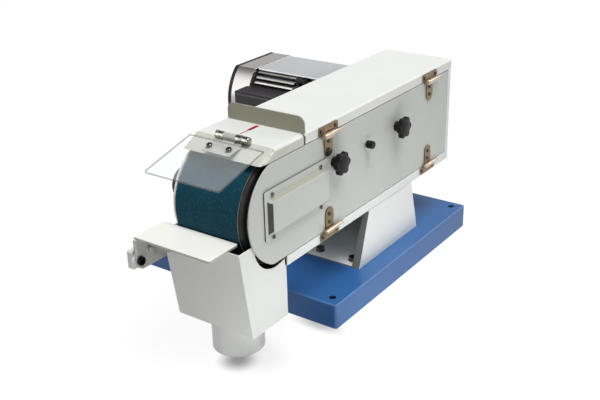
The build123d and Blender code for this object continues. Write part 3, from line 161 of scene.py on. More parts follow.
@dataclass(frozen=True)
class Finish:
    """A named surface: its material is made once and then shared."""

    name: str
    slot: str
    colour: str
    roughness: float

    def material(self) -> bpy.types.Material:
        """Make the finish's material on first use.

        Returns:
            The one material of this finish.
        """
        made = bpy.data.materials.get(self.name)
        if made is None:
            made = bpy.data.materials.new(self.name)
            tree = empty_tree(made)
            place = add_node(tree, "TexCoord").outputs["Object"]
            surface = self.paint(tree, place)
            add_node(tree, "OutputMaterial", {"Surface": surface.outputs["BSDF"]})
        return made

    def paint(self, tree: Tree, place: Socket) -> bpy.types.Node:
        """Return the shader that shows this kind of surface; each finish has its own."""
        raise NotImplementedError


@dataclass(frozen=True)
class Patched(Finish):
    """A surface whose colour turns towards a second tone in soft patches."""

    patch: str
    patch_mm: float = 30.0
    patch_detail: float = 3.0
    patch_share: float = 0.35

    def toned(self, tree: Tree, place: Socket) -> Socket:
        """Mix the two tones.

        Args:
            tree: Node tree of the material.
            place: Coordinates that the patches lie in.

        Returns:
            The colour at each point.
        """
        wide = {"Vector": place, "Scale": per_metre(self.patch_mm), "Detail": self.patch_detail}
        noise = add_node(tree, "TexNoise", wide).outputs["Fac"]
        share = add_node(tree, "MapRange", {**PATCHES, "Value": noise, "To Max": self.patch_share})
        tones = {0: share, 6: linear(self.colour), 7: linear(self.patch)}
        return add_node(tree, "Mix", tones, data_type="RGBA").outputs[2]


@dataclass(frozen=True)
class Skin(Patched):
    """Casting, moulding or coat: a patched colour, changed along its edges, over a fine grain."""

    patch_detail: float = 4.0
    edge: str = "#808080"
    edge_share: float = 0.15
    # Rubbed patches are smoother by this, and dull ones rougher by this many times as much
    rub: float = 0.07
    dull_share: float = 1.3
    rub_mm: float = 10.0
    rub_detail: float = 2.0
    # Real grain is about 0.2 mm, too fine to show at this distance, so it is drawn coarser.
    grain_mm: float = 0.8
    grain_detail: float = 3.0
    grain_strength: float = 0.6
    grain_depth_mm: float = 0.05
    metallic: float = 0.0
    specular: float = 0.4

    def paint(self, tree: Tree, place: Socket) -> bpy.types.Node:
        """Tone the colour along the edges, and give the skin its gloss and grain.

        Args:
            tree: Node tree of the material.
            place: Coordinates of the object.

        Returns:
            The shader.
        """
        rim = add_node(tree, "Attribute", attribute_name=EDGE)
        thin = add_node(tree, "Math", {0: rim.outputs["Fac"], 1: self.edge_share}, operation="MULTIPLY")
        edged = {0: thin, 6: self.toned(tree, place), 7: linear(self.edge)}
        skin = add_node(tree, "Mix", edged, data_type="RGBA")
        small = {"Vector": place, "Scale": per_metre(self.rub_mm), "Detail": self.rub_detail}
        rubs = add_node(tree, "TexNoise", small).outputs["Fac"]
        span = {"To Min": self.roughness - self.rub, "To Max": self.roughness + self.dull_share * self.rub}
        gloss = add_node(tree, "MapRange", {**PATCHES, **span, "Value": rubs})
        fine = {"Vector": place, "Scale": per_metre(self.grain_mm), "Detail": self.grain_detail}
        grit = add_node(tree, "TexNoise", fine).outputs["Fac"]
        depth = {"Strength": self.grain_strength, "Distance": self.grain_depth_mm * MM}
        grain = add_node(tree, "Bump", {**depth, "Height": grit})
        looks = {"Base Color": skin.outputs[2], "Roughness": gloss, "Normal": grain}
        fixed = {"Metallic": self.metallic, "Specular IOR Level": self.specular}
        return add_node(tree, "BsdfPrincipled", {**looks, **fixed})


@dataclass(frozen=True)
class PowderCoat(Skin):
    """Baked paint on folded sheet: a satin skin, softly pitted like orange peel, thin on the edges, which
    are toned paler as a painted highlight.
    """

    patch_mm: float = 90.0
    patch_detail: float = 2.0
    edge_share: float = 0.45
    rub: float = 0.05
    dull_share: float = 1.4
    rub_mm: float = 22.5
    rub_detail: float = 4.0
    # The pits of orange peel are this wide, and show as they are.
    grain_mm: float = 2.2
    grain_detail: float = 1.0
    grain_strength: float = 0.5
    specular: float = 0.5


@dataclass(frozen=True)
class Metal(Patched):
    """Bare or plated metal with fine streaks from the brush or the lathe, and patches of tarnish."""

    patch_mm: float = 14.0
    grain: Grain = Grain.ALONG_Y
    # Real streaks are about 0.1 mm wide, too fine to show at this distance, so they are drawn wider.
    streak_mm: float = 0.8
    streak_depth_mm: float = 0.01
    # Shares of the roughness along the smoothest and the roughest streak
    gloss_shares: Pair = (0.75, 1.3)

    def paint(self, tree: Tree, place: Socket) -> bpy.types.Node:
        """Streak the surface along its grain.

        Args:
            tree: Node tree of the material.
            place: Coordinates of the object.

        Returns:
            The shader.
        """
        along = add_node(tree, "Mapping", {"Vector": place, "Scale": self.grain.value})
        fine = {"Vector": along, "Scale": per_metre(self.streak_mm), "Detail": 3.0}
        streaks = add_node(tree, "TexNoise", fine).outputs["Fac"]
        smooth, rough = self.gloss_shares
        span = {"To Min": self.roughness * smooth, "To Max": self.roughness * rough}
        gloss = add_node(tree, "MapRange", {**PATCHES, **span, "Value": streaks})
        depth = {"Strength": 0.4, "Distance": self.streak_depth_mm * MM}
        lines = add_node(tree, "Bump", {**depth, "Height": streaks})
        looks = {"Base Color": self.toned(tree, place), "Roughness": gloss, "Normal": lines}
        return add_node(tree, "BsdfPrincipled", {**looks, "Metallic": 1.0})


@dataclass(frozen=True)
class AbrasiveCloth(Patched):
    """Grit glued on cloth: dark resin full of blue-green grains, dulled in bands by use."""

    patch_mm: float = 26.0
    patch_share: float = 0.55
    round_belt: Point = (1.0, 0.12, 0.12)
    grain: str = "#246577"
    # Real grit is about 0.4 mm, too fine to show at this distance, so the grains are drawn larger.
    grit_mm: float = 2.2
    grit_depth_mm: float = 0.35
    # Grains whose random value is above this look brighter, by up to this share
    bright_from: float = 0.7
    bright_share: float = 0.45

    def paint(self, tree: Tree, place: Socket) -> bpy.types.Node:
        """Scatter brighter grains over the resin and dull it in bands round the belt.

        Args:
            tree: Node tree of the material.
            place: Coordinates of the object.

        Returns:
            The shader.
        """
        cells = add_node(tree, "TexVoronoi", {"Vector": place, "Scale": per_metre(self.grit_mm)})
        pick = add_node(tree, "SeparateColor", {"Color": cells.outputs["Color"]})
        picked = {"Value": pick, "From Min": self.bright_from, "From Max": 1.0}
        bright = add_node(tree, "MapRange", {**picked, "To Max": self.bright_share})
        bands = add_node(tree, "Mapping", {"Vector": place, "Scale": self.round_belt})
        grains = {0: bright, 6: self.toned(tree, bands), 7: linear(self.grain)}
        skin = add_node(tree, "Mix", grains, data_type="RGBA")
        depth = {"Strength": 0.7, "Distance": self.grit_depth_mm * MM}
        lift = add_node(tree, "Bump", {**depth, "Height": cells.outputs["Distance"]})
        looks = {"Base Color": skin.outputs[2], "Normal": lift, "Roughness": self.roughness}
        return add_node(tree, "BsdfPrincipled", {**looks, "Specular IOR Level": 0.12})


@dataclass(frozen=True)
class ClearSheet(Finish):
    """Cast acrylic sheet under a pale film, a painted sheen in place of its reflection, with fine
    scratches.
    """

    haze: str
    film: float = 0.11
    scratch_mm: float = 3.0
    along_sheet: Point = (0.2, 1.0, 1.0)
    # Shares of the roughness where the film is clearest and where it is most scratched
    gloss_shares: Pair = (0.5, 1.8)

    def paint(self, tree: Tree, place: Socket) -> bpy.types.Node:
        """Let the light through but for the film, which is scratched along the sheet.

        Args:
            tree: Node tree of the material.
            place: Coordinates of the object.

        Returns:
            The shader.
        """
        along = add_node(tree, "Mapping", {"Vector": place, "Scale": self.along_sheet})
        fine = {"Vector": along, "Scale": per_metre(self.scratch_mm), "Detail": 5.0}
        marks = add_node(tree, "TexNoise", fine).outputs["Fac"]
        tones = {0: marks, 6: linear(self.colour), 7: linear(self.haze)}
        skin = add_node(tree, "Mix", tones, data_type="RGBA")
        clear, scratched = self.gloss_shares
        span = {"To Min": self.roughness * clear, "To Max": self.roughness * scratched}
        gloss = add_node(tree, "MapRange", {**PATCHES, **span, "Value": marks})
        looks = {"Base Color": skin.outputs[2], "Roughness": gloss}
        return add_node(tree, "BsdfPrincipled", {**looks, "IOR": 1.49, "Alpha": self.film})


# Satin white powder coat of pedestal, housing and chute: pale, faintly cream, softly shiny
WHITE_COAT = PowderCoat("white_powder_coat", "white_paint", "#ebedea", 0.34, "#e6e7e4", edge="#f5f5f3")
# The door's coat is a shade greyer than the housing's
DOOR_COAT = PowderCoat("grey_white_powder_coat", "white_paint", "#c9ccc6", 0.36, "#c3c6bf", edge="#dee0dc")
# The upright deflector's coat is olive grey, darkened as painted shade on a plate that faces away from the
# light
DEFLECTOR_COAT = PowderCoat("painted_shade_deflector_coat", "white_paint", "#9f9e8b", 0.45, "#969581", edge="#c7c7bb")
# Dark olive grey, dull: grinding dust inside the chute, and painted shade on the door cover's end and outer
# rim
DUST_AND_SHADE_COAT = PowderCoat(
    "dust_and_painted_shade_coat", "white_paint", "#57574f", 0.7, "#3f3f39", edge="#5d5d55", specular=0.2
)
# The table's top: the palest of the coats, made paler as painted light
TABLE_COAT = PowderCoat("painted_light_table_coat", "white_paint", "#fbfbf5", 0.36, "#f8f8f0", edge="#fdfdf8")
# The hood's slope and side, a little darker and yellower as painted shade
HOOD_COAT = PowderCoat("painted_shade_hood_coat", "white_paint", "#d0d0c5", 0.36, "#c9c9bc", edge="#ecece5")
# Cream grey painted shade on the table's sides and the shield's leaf
SHADE_GREY_COAT = PowderCoat("painted_shade_grey_coat", "white_paint", "#c6c7c0", 0.36, "#bebfb7", edge="#e0e0dc")
# Painted shade on the door cover's slope: olive grey
SHADED_SLOPE_COAT = PowderCoat("painted_shade_slope_coat", "white_paint", "#a7a899", 0.4, "#9d9e8d", edge="#d8d8cd")
# Cut ends of the pedestal's plates, which face the front: grey, as painted shade
FRONT_SHADE_COAT = PowderCoat(
    "painted_shade_front_coat", "white_paint", "#72746f", 0.5, "#666863", edge="#7c7e79", specular=0.3
)
# Blue stove enamel on the base tray: strong, even colour, a little paler along its folds as a painted
# highlight
BLUE_ENAMEL = PowderCoat(
    "blue_enamel",
    "blue_paint",
    "#2e609a",
    0.32,
    "#2a5992",
    edge="#9dbfe6",
    edge_share=0.12,
    rub=0.01,
    specular=0.35,
)
# Grey metallic lacquer on the fan cowl: mid grey from above, bright where it mirrors the room
COWL_LACQUER = PowderCoat(
    "grey_metallic_lacquer",
    "cowl_grey",
    "#afacaa",
    0.26,
    "#a3a09e",
    edge="#c0bdbb",
    rub=0.01,
    grain_depth_mm=0.003,
    metallic=0.9,
)
# Painted aluminium casting of the motor: dark and grainy between the fins
MOTOR_CASTING = Skin(
    "painted_motor_casting", "motor_grey", "#78777b", 0.36, "#8d8c8e", grain_mm=1.4, grain_depth_mm=0.08
)
# Fin tips in pale metal: a painted highlight, pale lines along the motor
FIN_HIGHLIGHT_METAL = Metal(
    "painted_highlight_fin_metal", "motor_grey", "#c8c6c2", 0.4, "#9c9a96", grain=Grain.ALONG_X
)
# Black painted cast iron of the spindle housing, coarse and dull
BLACK_IRON = Skin("black_cast_iron", "black_steel", "#131314", 0.5, "#2a292b", grain_mm=1.4, specular=0.3)
# Blackened steel of the table's bolt, dull and dark
BLACK_STEEL = Metal("blackened_steel", "black_steel", "#1d1d1f", 0.45, "#0e0e0f")
# Oiled steel screws and bolts: dark, with small sharp lights
DARK_STEEL = Metal("oiled_steel", "bright_steel", "#7d7972", 0.2, "#141311", patch_mm=2.5, patch_share=1.0)
# Brushed aluminium lid, silvery with fine streaks along its length
LID_ALUMINIUM = Metal(
    "brushed_aluminium", "lid_aluminium", "#e4e7ea", 0.34, "#c3c7cb", grain=Grain.ALONG_X, patch_mm=120.0
)
# Turned aluminium wheels, ringed by the lathe
WHEEL_ALUMINIUM = Metal(
    "turned_aluminium", "wheel_aluminium", "#c9cbcd", 0.32, "#9b9c9d", grain=Grain.TURNED_ON_X
)
# Bright zinc-plated or turned steel of shafts, posts, spring and stop bolt: pale, with a soft sheen
BRIGHT_STEEL = Metal("bright_steel", "bright_steel", "#d3cac0", 0.24, "#8e8a82")
# Nickel plate on the hinges, warm and brown from age
HINGE_NICKEL = Metal("aged_nickel_plate", "hinge_steel", "#8b7b62", 0.28, "#41372a", grain=Grain.ALONG_Z)
# The hinges' barrels and pins, paler as a painted highlight
BARREL_HIGHLIGHT_NICKEL = Metal("painted_highlight_nickel_plate", "hinge_steel", "#d6c3b0", 0.36, "#8d7a66")
# Polished chrome of the shield's pivot, with dark and bright bands painted in as painted reflection
CHROME = Metal("polished_chrome", "chrome", "#bcbab2", 0.08, "#2b2924", patch_mm=7.0, patch_share=0.8)
# Black moulded plastic of knobs, grille, fan and gland: dull, a little greyer along its edges
BLACK_PLASTIC = Skin(
    "black_nylon", "black_plastic", "#0d0d0e", 0.45, "#171718", edge="#2c2c2d", specular=0.25
)
# Dark violet-grey moulded plastic of the switch box, paler along its edges as a painted highlight
SWITCH_PLASTIC = Skin(
    "dark_grey_abs",
    "black_plastic",
    "#2a272b",
    0.32,
    "#322f34",
    edge="#9a99a2",
    edge_share=0.5,
    rub=0.015,
    grain_depth_mm=0.02,
)
# Green and red push buttons, glossy and strong
GREEN_PLASTIC = Skin("green_button_plastic", "green_plastic", "#1d7a3a", 0.28, "#2f8f4c", edge="#3f9f5c")
RED_PLASTIC = Skin("red_button_plastic", "red_plastic", "#b01c1c", 0.28, "#c23a34", edge="#cf4a44")
# Vulcanised rubber of the wheel's tyre: almost black, faintly violet, dull
TYRE_RUBBER = Skin("black_rubber", "tyre_rubber", "#1e1b1d", 0.55, "#2b2729", grain_mm=1.2, specular=0.3)
# Blue-green abrasive of the belt, dark and grainy
BELT_CLOTH = AbrasiveCloth("blue_zirconia_cloth", "belt_cloth", "#114254", 0.7, "#0d3442")
# Bare cotton backing on the belt's inside and cut edges, cream and matt
CLOTH_BACK = Skin("cotton_backing", "belt_cloth", "#c4b79c", 0.85, "#a5987f", grain_mm=0.9)
# Clear shield under a thin pale film of painted sheen, and its cut edge, which looks grey as light leaves
# it elsewhere
CLEAR_ACRYLIC = ClearSheet("clear_acrylic", "clear_sheet", "#f6fbfc", 0.06, "#ecf4f5")
ACRYLIC_EDGE = ClearSheet("acrylic_cut_edge", "clear_sheet", "#565f60", 0.2, "#3f4747", film=0.55)
# Red printed film of the direction arrow, satin and a little paler where it is rubbed
RED_FILM = Skin("red_vinyl_film", "red_plastic", "#9c1029", 0.35, "#b0203a", edge="#b0203a")


def smooth_shade(piece: Piece) -> None:
    """Shade a piece smoothly while its large flat faces stay flat.

    Args:
        piece: Mesh object to shade.
    """
    piece.data.shade_smooth()
    piece.data.set_sharp_from_angle(angle=math.radians(SHARP_DEG))
    weigh = piece.modifiers.new("flat_faces_stay_flat", "WEIGHTED_NORMAL")
    weigh.keep_sharp = True


def add_object(name: str, data: bpy.types.ID) -> Piece:
    """Make an object of its data and put it in the scene.

    Args:
        name: Name of the object.
        data: Its mesh, lamp or camera.

    Returns:
        The new object.
    """
    made = bpy.data.objects.new(name, data)
    bpy.context.scene.collection.objects.link(made)
    return made


def to_object(name: str, mesh: Mesh) -> Piece:
    """Turn a finished bmesh into an object of the scene.

    Args:
        name: Name of the object.
        mesh: Its shape in the shared frame, freed here.

    Returns:
        The new object.
    """
    data = bpy.data.meshes.new(name)
    mesh.to_mesh(data)
    mesh.free()
    return add_object(name, data)


def new_piece(name: str, mesh: Mesh, body: str, *finishes: Finish) -> Piece:
    """Make an object of a finished bmesh, in place, dressed and riding on its body.

    Args:
        name: Name of the piece.
        mesh: Its shape in the shared frame, freed here.
        body: Body that it moves with.
        finishes: Surfaces that its faces show, in the order of their material numbers.

    Returns:
        The new object.
    """
    piece = to_object(name, mesh)
    for finish in finishes:
        piece.data.materials.append(finish.material())
    smooth_shade(piece)
    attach(piece, body)
    LOG.info("%s on %s in %s", name, body, finishes[0].name)
    return piece


def dress(node: str, finish: Finish) -> None:
    """Give a solid that stays as it is its finish.

    Args:
        node: Node to dress.
        finish: Surface that it gets.
    """
    slots = frame["nodes"][node].data.materials
    slots.clear()
    slots.append(finish.material())
    LOG.info("%s in %s", node, finish.name)


def soften(
    node: str,
    *finishes: Finish,
    edge_mm: float = 0.6,
    corner_deg: float = 32.0,
    pale_bends: bool = False,
    choose: Callable[[Face], int] | None = None,
) -> Piece:
    """Stand a copy with rounded edges in for a solid.

    Args:
        node: Node that the copy replaces.
        finishes: Surfaces of the copy.
        edge_mm: Width of the rounding in millimetres.
        corner_deg: Edges that turn more than this are rounded.
        pale_bends: Whether faces that lie along no axis count as edges too.
        choose: Gives the number of a face's finish; without it all have the first.

    Returns:
        The copy.
    """
    mesh = bmesh.new()
    mesh.from_mesh(frame["nodes"][node].data)
    bmesh.ops.remove_doubles(mesh, verts=mesh.verts, dist=WELD_MM * MM)
    bmesh.ops.dissolve_limit(
        mesh,
        angle_limit=math.radians(FLAT_DEG),
        verts=mesh.verts,
        edges=mesh.edges,
        use_dissolve_boundaries=False,
    )
    rim = mesh.faces.layers.float.new(EDGE)
    limit = math.radians(corner_deg)
    corners = [e for e in mesh.edges if len(e.link_faces) == 2 and e.calc_face_angle(0.0) > limit]
    rounded = bmesh.ops.bevel(
        mesh,
        geom=corners,
        offset=edge_mm * MM,
        offset_type="OFFSET",
        segments=2,
        profile=0.5,
        affect="EDGES",
        material=-1,
        clamp_overlap=True,
    )
    for face in rounded["faces"]:
        face[rim] = 1.0
    mesh.normal_update()
    for face in mesh.faces:
        if pale_bends and max(abs(part) for part in face.normal) < SQUARE:
            face[rim] = 1.0
        if choose is not None:
            face.material_index = choose(face)
    piece = new_piece(node + "_dressed", mesh, BODY_OF[node], *finishes)
    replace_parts(piece, node)
    return piece


def turned(profile: Sequence[Pair], steps: int) -> Mesh:
    """Spin a profile a full turn round Z.

    Args:
        profile: Radius and height of each corner in millimetres.
        steps: Number of sides.

    Returns:
        The turned shape, standing on the origin.
    """
    mesh = bmesh.new()
    line = [mesh.verts.new((radius * MM, 0.0, height * MM)) for radius, height in profile]
    sides = [mesh.edges.new(pair) for pair in zip(line, line[1:])]
    bmesh.ops.spin(
        mesh,
        geom=line + sides,
        cent=(0.0, 0.0, 0.0),
        axis=(0.0, 0.0, 1.0),
        dvec=(0.0, 0.0, 0.0),
        angle=math.tau,
        steps=steps,
        use_merge=True,
    )
    bmesh.ops.remove_doubles(mesh, verts=mesh.verts, dist=SEAM_MM * MM)
    bmesh.ops.recalc_face_normals(mesh, faces=mesh.faces)
    return mesh


def carved(shape: Mesh, cutter: Mesh) -> Mesh:
    """Cut one shape out of another.

    Args:
        shape: Shape that is cut, freed here.
        cutter: Shape that is taken out, freed here.

    Returns:
        What is left.
    """
    solid = to_object("uncut", shape)
    tool = to_object("cutter", cutter)
    cut = solid.modifiers.new("cut", "BOOLEAN")
    cut.object = tool
    cut.operation = "DIFFERENCE"
    cut.solver = "EXACT"
    cut.use_self = True
    bpy.context.view_layer.update()
    left = bmesh.new()
    left.from_object(solid, bpy.context.evaluated_depsgraph_get())
    for used in (solid, tool):
        bpy.data.meshes.remove(used.data)
    return left


@dataclass
class SubAssembly:
    """A group of nodes that share a place on the machine.

    Lengths are in millimetres. A field that ends in facing says how far a face has to point that way, as a
    part of its normal.
    """

    def build(self) -> None:
        """Make and dress the group's pieces; each group has its own."""
        raise NotImplementedError


@dataclass
class Base(SubAssembly):
    """Folded blue tray, white pedestal and the bolts between them."""

    front_facing: float = 0.8

    def build(self) -> None:
        """Round the folds and dress the bolts."""
        soften("base_tray", BLUE_ENAMEL, edge_mm=0.8, pale_bends=True)
        soften("pedestal", WHITE_COAT, FRONT_SHADE_COAT, edge_mm=1.0, choose=self.pedestal_finish)
        soften("pedestal_top", WHITE_COAT, edge_mm=0.5)
        soften("pedestal_bolts", DARK_STEEL, edge_mm=0.4)

    def pedestal_finish(self, face: Face) -> int:
        """Return one for the plates' cut ends, which face the front and are in painted shade, and zero for
        the rest.
        """
        return int(face.normal.y < -self.front_facing)


@dataclass
class Housing(SubAssembly):
    """Sheet housing round the belt, with its hood, roof and deflector."""

    edge_mm: float = 0.7
    panels: tuple[str, ...] = ("side_plate", "housing_floor", "housing_rear", "top_cover")
    arrow_x: float = 124.5
    arrow_stations: Point = (-389.0, -363.0, -334.0)
    arrow_half_widths: Pair = (1.3, 4.0)
    arrow_z: float = 429.0
    film_mm: float = 0.2
    weld_spots: tuple[Point, ...] = ((225.2, -418.5, 426.6), (225.2, -430.0, 420.2), (225.2, -449.0, 410.2))
    weld_radius: float = 2.0
    slope_facing: float = 0.3
    side_facing: float = 0.9

    def build(self) -> None:
        """Round the panels' edges, dress the posts inside and add arrow and welds."""
        for panel in self.panels:
            soften(panel, WHITE_COAT, edge_mm=self.edge_mm)
        soften("front_hood", WHITE_COAT, HOOD_COAT, edge_mm=self.edge_mm, choose=self.hood_finish)
        soften("deflector_plate", DEFLECTOR_COAT, edge_mm=self.edge_mm)
        dress("latch_posts", BRIGHT_STEEL)
        self.arrow()
        self.welds()

    def hood_finish(self, face: Face) -> int:
        """Return one for the hood's slope over the wheel and its side, which are in painted shade, and zero
        for the rest.
        """
        return int(face.normal.y < -self.slope_facing or face.normal.x > self.side_facing)

    def arrow(self) -> None:
        """Lay the red direction arrow on the hood."""
        thin, wide = self.arrow_half_widths
        start, neck, tip = self.arrow_stations
        half = ((thin, start), (thin, neck), (wide, neck), (wide, tip))
        outline = (*half, *((-x, y) for x, y in reversed(half)))
        corners = [Vector((self.arrow_x + x, y, self.arrow_z)) * MM for x, y in outline]
        mesh = bmesh.new()
        face = mesh.faces.new([mesh.verts.new(corner) for corner in corners])
        lifted = bmesh.ops.extrude_face_region(mesh, geom=[face])["geom"]
        top = [part for part in lifted if isinstance(part, bmesh.types.BMVert)]
        bmesh.ops.translate(mesh, verts=top, vec=(0.0, 0.0, self.film_mm * MM))
        bmesh.ops.recalc_face_normals(mesh, faces=mesh.faces)
        new_piece("direction_arrow", mesh, "frame", RED_FILM)

    def welds(self) -> None:
        """Set weld spots along the bend at the hood's right edge."""
        mesh = bmesh.new()
        for spot in self.weld_spots:
            place = Matrix.Translation(Vector(spot) * MM)
            bmesh.ops.create_icosphere(mesh, subdivisions=2, radius=self.weld_radius * MM, matrix=place)
        new_piece("hood_welds", mesh, "frame", WHITE_COAT)


@dataclass
class StarKnob(SubAssembly):
    """Moulded star knob with a crowned face, on a stud along X."""

    node: str = "front_knob"
    outward: int = 1
    crown_radius: float = 17.0
    crown_rise: float = 2.6
    crown_root: float = 0.5
    crown_rings: int = 6
    sides: int = 40

    def build(self) -> None:
        """Round the lobes and add the crown."""
        soften(self.node, BLACK_PLASTIC, edge_mm=0.8)
        low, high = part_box(self.node)
        face = high[0] if self.outward > 0 else low[0]
        steps = [math.pi / 2 * ring / self.crown_rings for ring in range(self.crown_rings + 1)]
        arch = [(self.crown_radius * math.cos(a), self.crown_rise * math.sin(a)) for a in steps]
        root = [(0.0, -self.crown_root), (self.crown_radius, -self.crown_root)]
        mesh = turned([*root, *arch], self.sides)
        lie = Matrix.Rotation(self.outward * math.pi / 2, 4, "Y")
        place = Matrix.Translation((face, (low[1] + high[1]) / 2, (low[2] + high[2]) / 2))
        bmesh.ops.transform(mesh, matrix=place @ lie, verts=mesh.verts)
        new_piece(self.node + "_crown", mesh, BODY_OF[self.node], BLACK_PLASTIC)


@dataclass
class Door(SubAssembly):
    """Hinged door with its pressed cover, hinges, pins and screws."""

    edge_mm: float = 0.7
    washer_end: float = 229.6
    cover_face: float = 230.0
    barrel_start: float = 231.5
    rim_facing: float = 0.5
    slope_facing: float = 0.6
    pins: tuple[str, ...] = ("lower_front_pin", "lower_rear_pin", "upper_front_pin", "upper_rear_pin")

    def build(self) -> None:
        """Round and dress the door's pieces."""
        soften("door_panel", DOOR_COAT, edge_mm=self.edge_mm)
        coats = (DOOR_COAT, DUST_AND_SHADE_COAT, SHADED_SLOPE_COAT)
        soften("door_cover", *coats, edge_mm=0.4, corner_deg=20.0, choose=self.cover_finish)
        for hinge in ("hinge_leaves", "hinge_straps"):
            soften(hinge, HINGE_NICKEL, BARREL_HIGHLIGHT_NICKEL, edge_mm=0.4, choose=self.hinge_finish)
        for pin in self.pins:
            soften(pin, BARREL_HIGHLIGHT_NICKEL)
        for screws in ("leaf_screws", "door_screws"):
            soften(screws, DARK_STEEL, edge_mm=0.3)
        soften("door_lock_screw", BLACK_PLASTIC, BRIGHT_STEEL, edge_mm=0.5, choose=self.lock_finish)

    def cover_finish(self, face: Face) -> int:
        """Sort the cover's faces by the painted shade on them.

        Args:
            face: Face of the cover.

        Returns:
            One for the end and outer rim and two for the slope on top, all in painted shade, and zero for
            the rest.
        """
        if face.calc_center_median().x < self.cover_face * MM:
            return int(face.normal.y < -self.rim_facing or face.normal.z > self.rim_facing)
        if face.normal.z > self.slope_facing:
            return 2
        return int(face.normal.y < -self.slope_facing)

    def hinge_finish(self, face: Face) -> int:
        """Return one for the hinges' barrels, which carry a painted highlight, and zero for their flat
        leaves.
        """
        return int(face.calc_center_median().x > self.barrel_start * MM)

    def lock_finish(self, face: Face) -> int:
        """Return one for the lock's steel washer and shank, and zero for its plastic head."""
        return int(face.calc_center_median().x < self.washer_end * MM)


@dataclass
class BeltDrive(SubAssembly):
    """Belt, contact wheel, drive wheel and the sprung tension arm."""

    loop_middle: Point = (127.5, -110.0, 300.0)
    aluminium: tuple[str, ...] = ("wheel_hub", "drive_wheel", "tracking_roller")
    steel: tuple[str, ...] = (
        "wheel_spindle",
        "spindle_nut",
        "motor_shaft",
        "tension_bracket",
        "tension_arm",
        "spindle_bearings",
    )
    side_facing: float = 0.6
    spring_foot: Point = (64.0, -75.0, 260.3)
    spring_height: float = 53.4
    spring_radius: float = 9.0
    spring_wire: float = 3.0
    spring_turns: float = 6.0
    close_pitch: float = 1.05
    spring_kept: float = 0.745
    turn_steps: int = 28
    wire_sides: int = 12

    def build(self) -> None:
        """Dress the belt and what it runs on, and coil the spring."""
        cloth = (BELT_CLOTH, CLOTH_BACK)
        soften("sanding_belt", *cloth, edge_mm=0.15, corner_deg=60.0, choose=self.belt_finish)
        dress("wheel_tyre", TYRE_RUBBER)
        for node in self.aluminium:
            dress(node, WHEEL_ALUMINIUM)
        for node in self.steel:
            dress(node, BRIGHT_STEEL)
        soften("spindle_housing", BLACK_IRON, edge_mm=0.8)
        self.spring()

    def belt_finish(self, face: Face) -> int:
        """Return zero for the belt's outer, gritty side and one for its backing and edges."""
        away = face.calc_center_median() - Vector(self.loop_middle) * MM
        return int(abs(face.normal.x) > self.side_facing or face.normal.dot(away) < 0.0)

    def spring(self) -> None:
        """Wind the tension spring with a close turn at each end."""
        wire = self.spring_wire * MM
        middle = Vector(self.spring_foot) * MM
        start = middle + Vector((self.spring_radius * MM - wire / 2, 0.0, wire / 2))
        mesh = bmesh.new()
        stand = Matrix.Translation(start) @ Matrix.Rotation(math.pi / 2, 4, "X")
        bmesh.ops.create_circle(mesh, segments=self.wire_sides, radius=wire / 2, matrix=stand)
        ring = list(mesh.verts) + list(mesh.edges)
        climb = self.spring_height * MM - wire
        close = wire * self.close_pitch
        for turns, rise in ((1.0, close), (self.spring_turns, climb - 2 * close), (1.0, close)):
            steps = round(turns * self.turn_steps)
            wound = bmesh.ops.spin(
                mesh,
                geom=ring,
                cent=middle,
                axis=(0.0, 0.0, 1.0),
                dvec=(0.0, 0.0, rise / steps),
                angle=math.tau * turns,
                steps=steps,
                use_merge=False,
            )
            ring = [part for part in wound["geom_last"] if not isinstance(part, Face)]
        bmesh.ops.remove_doubles(mesh, verts=mesh.verts, dist=SEAM_MM * MM)
        bmesh.ops.holes_fill(mesh, edges=[e for e in mesh.edges if e.is_boundary], sides=0)
        bmesh.ops.recalc_face_normals(mesh, faces=mesh.faces)
        coil = new_piece("tension_spring_coil", mesh, BODY_OF["tension_spring"], BRIGHT_STEEL)
        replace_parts(coil, "tension_spring")
        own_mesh(coil)


@dataclass
class Motor(SubAssembly):
    """Finned motor with its cowl, terminal box and switch box."""

    axis_y: float = 168.0
    axis_z: float = 302.0
    tip_radius: float = 96.0

    def build(self) -> None:
        """Round and dress the motor's pieces."""
        soften("motor_frame", MOTOR_CASTING, FIN_HIGHLIGHT_METAL, edge_mm=0.5, choose=self.frame_finish)
        soften("motor_flange", MOTOR_CASTING, edge_mm=0.8)
        soften("flange_bolts", DARK_STEEL, edge_mm=0.5)
        soften("motor_cowl", COWL_LACQUER, edge_mm=0.8)
        soften("cowl_grille", BLACK_PLASTIC, edge_mm=0.8)
        dress("motor_fan", BLACK_PLASTIC)
        soften("terminal_lid", LID_ALUMINIUM, edge_mm=0.8)
        soften("cable_gland", BLACK_PLASTIC)
        soften("switch_box", SWITCH_PLASTIC)
        soften("start_button", GREEN_PLASTIC)
        soften("stop_button", RED_PLASTIC)

    def frame_finish(self, face: Face) -> int:
        """Return one for the tips of the fins, which carry a painted highlight, and zero for the rest of
        the casting.
        """
        spot = face.calc_center_median()
        return int(math.hypot(spot.y - self.axis_y * MM, spot.z - self.axis_z * MM) > self.tip_radius * MM)


@dataclass
class Table(SubAssembly):
    """Work table on its sliding arm, with a bolt as its stop."""

    stop_y: float = -552.5
    stop_z: float = 229.0
    stop_radius: float = 7.0
    stop_start: float = 20.1
    top_facing: float = 0.5

    def build(self) -> None:
        """Round and dress the table's pieces."""
        soften("work_table", TABLE_COAT, SHADE_GREY_COAT, BRIGHT_STEEL, edge_mm=0.7, choose=self.table_finish)
        for node in ("table_arm", "arm_bracket"):
            soften(node, WHITE_COAT, edge_mm=0.8)
        soften("table_bolt", BLACK_STEEL, edge_mm=0.5)

    def table_finish(self, face: Face) -> int:
        """Sort the table's faces.

        Args:
            face: Face of the table.

        Returns:
            Two for the bolt that stops the tilt, zero for the top, in painted light, and one for the rest,
            in painted shade.
        """
        spot = face.calc_center_median() / MM
        near = math.hypot(spot.y - self.stop_y, spot.z - self.stop_z) < self.stop_radius
        if near and spot.x > self.stop_start:
            return 2
        return int(face.normal.z < self.top_facing)


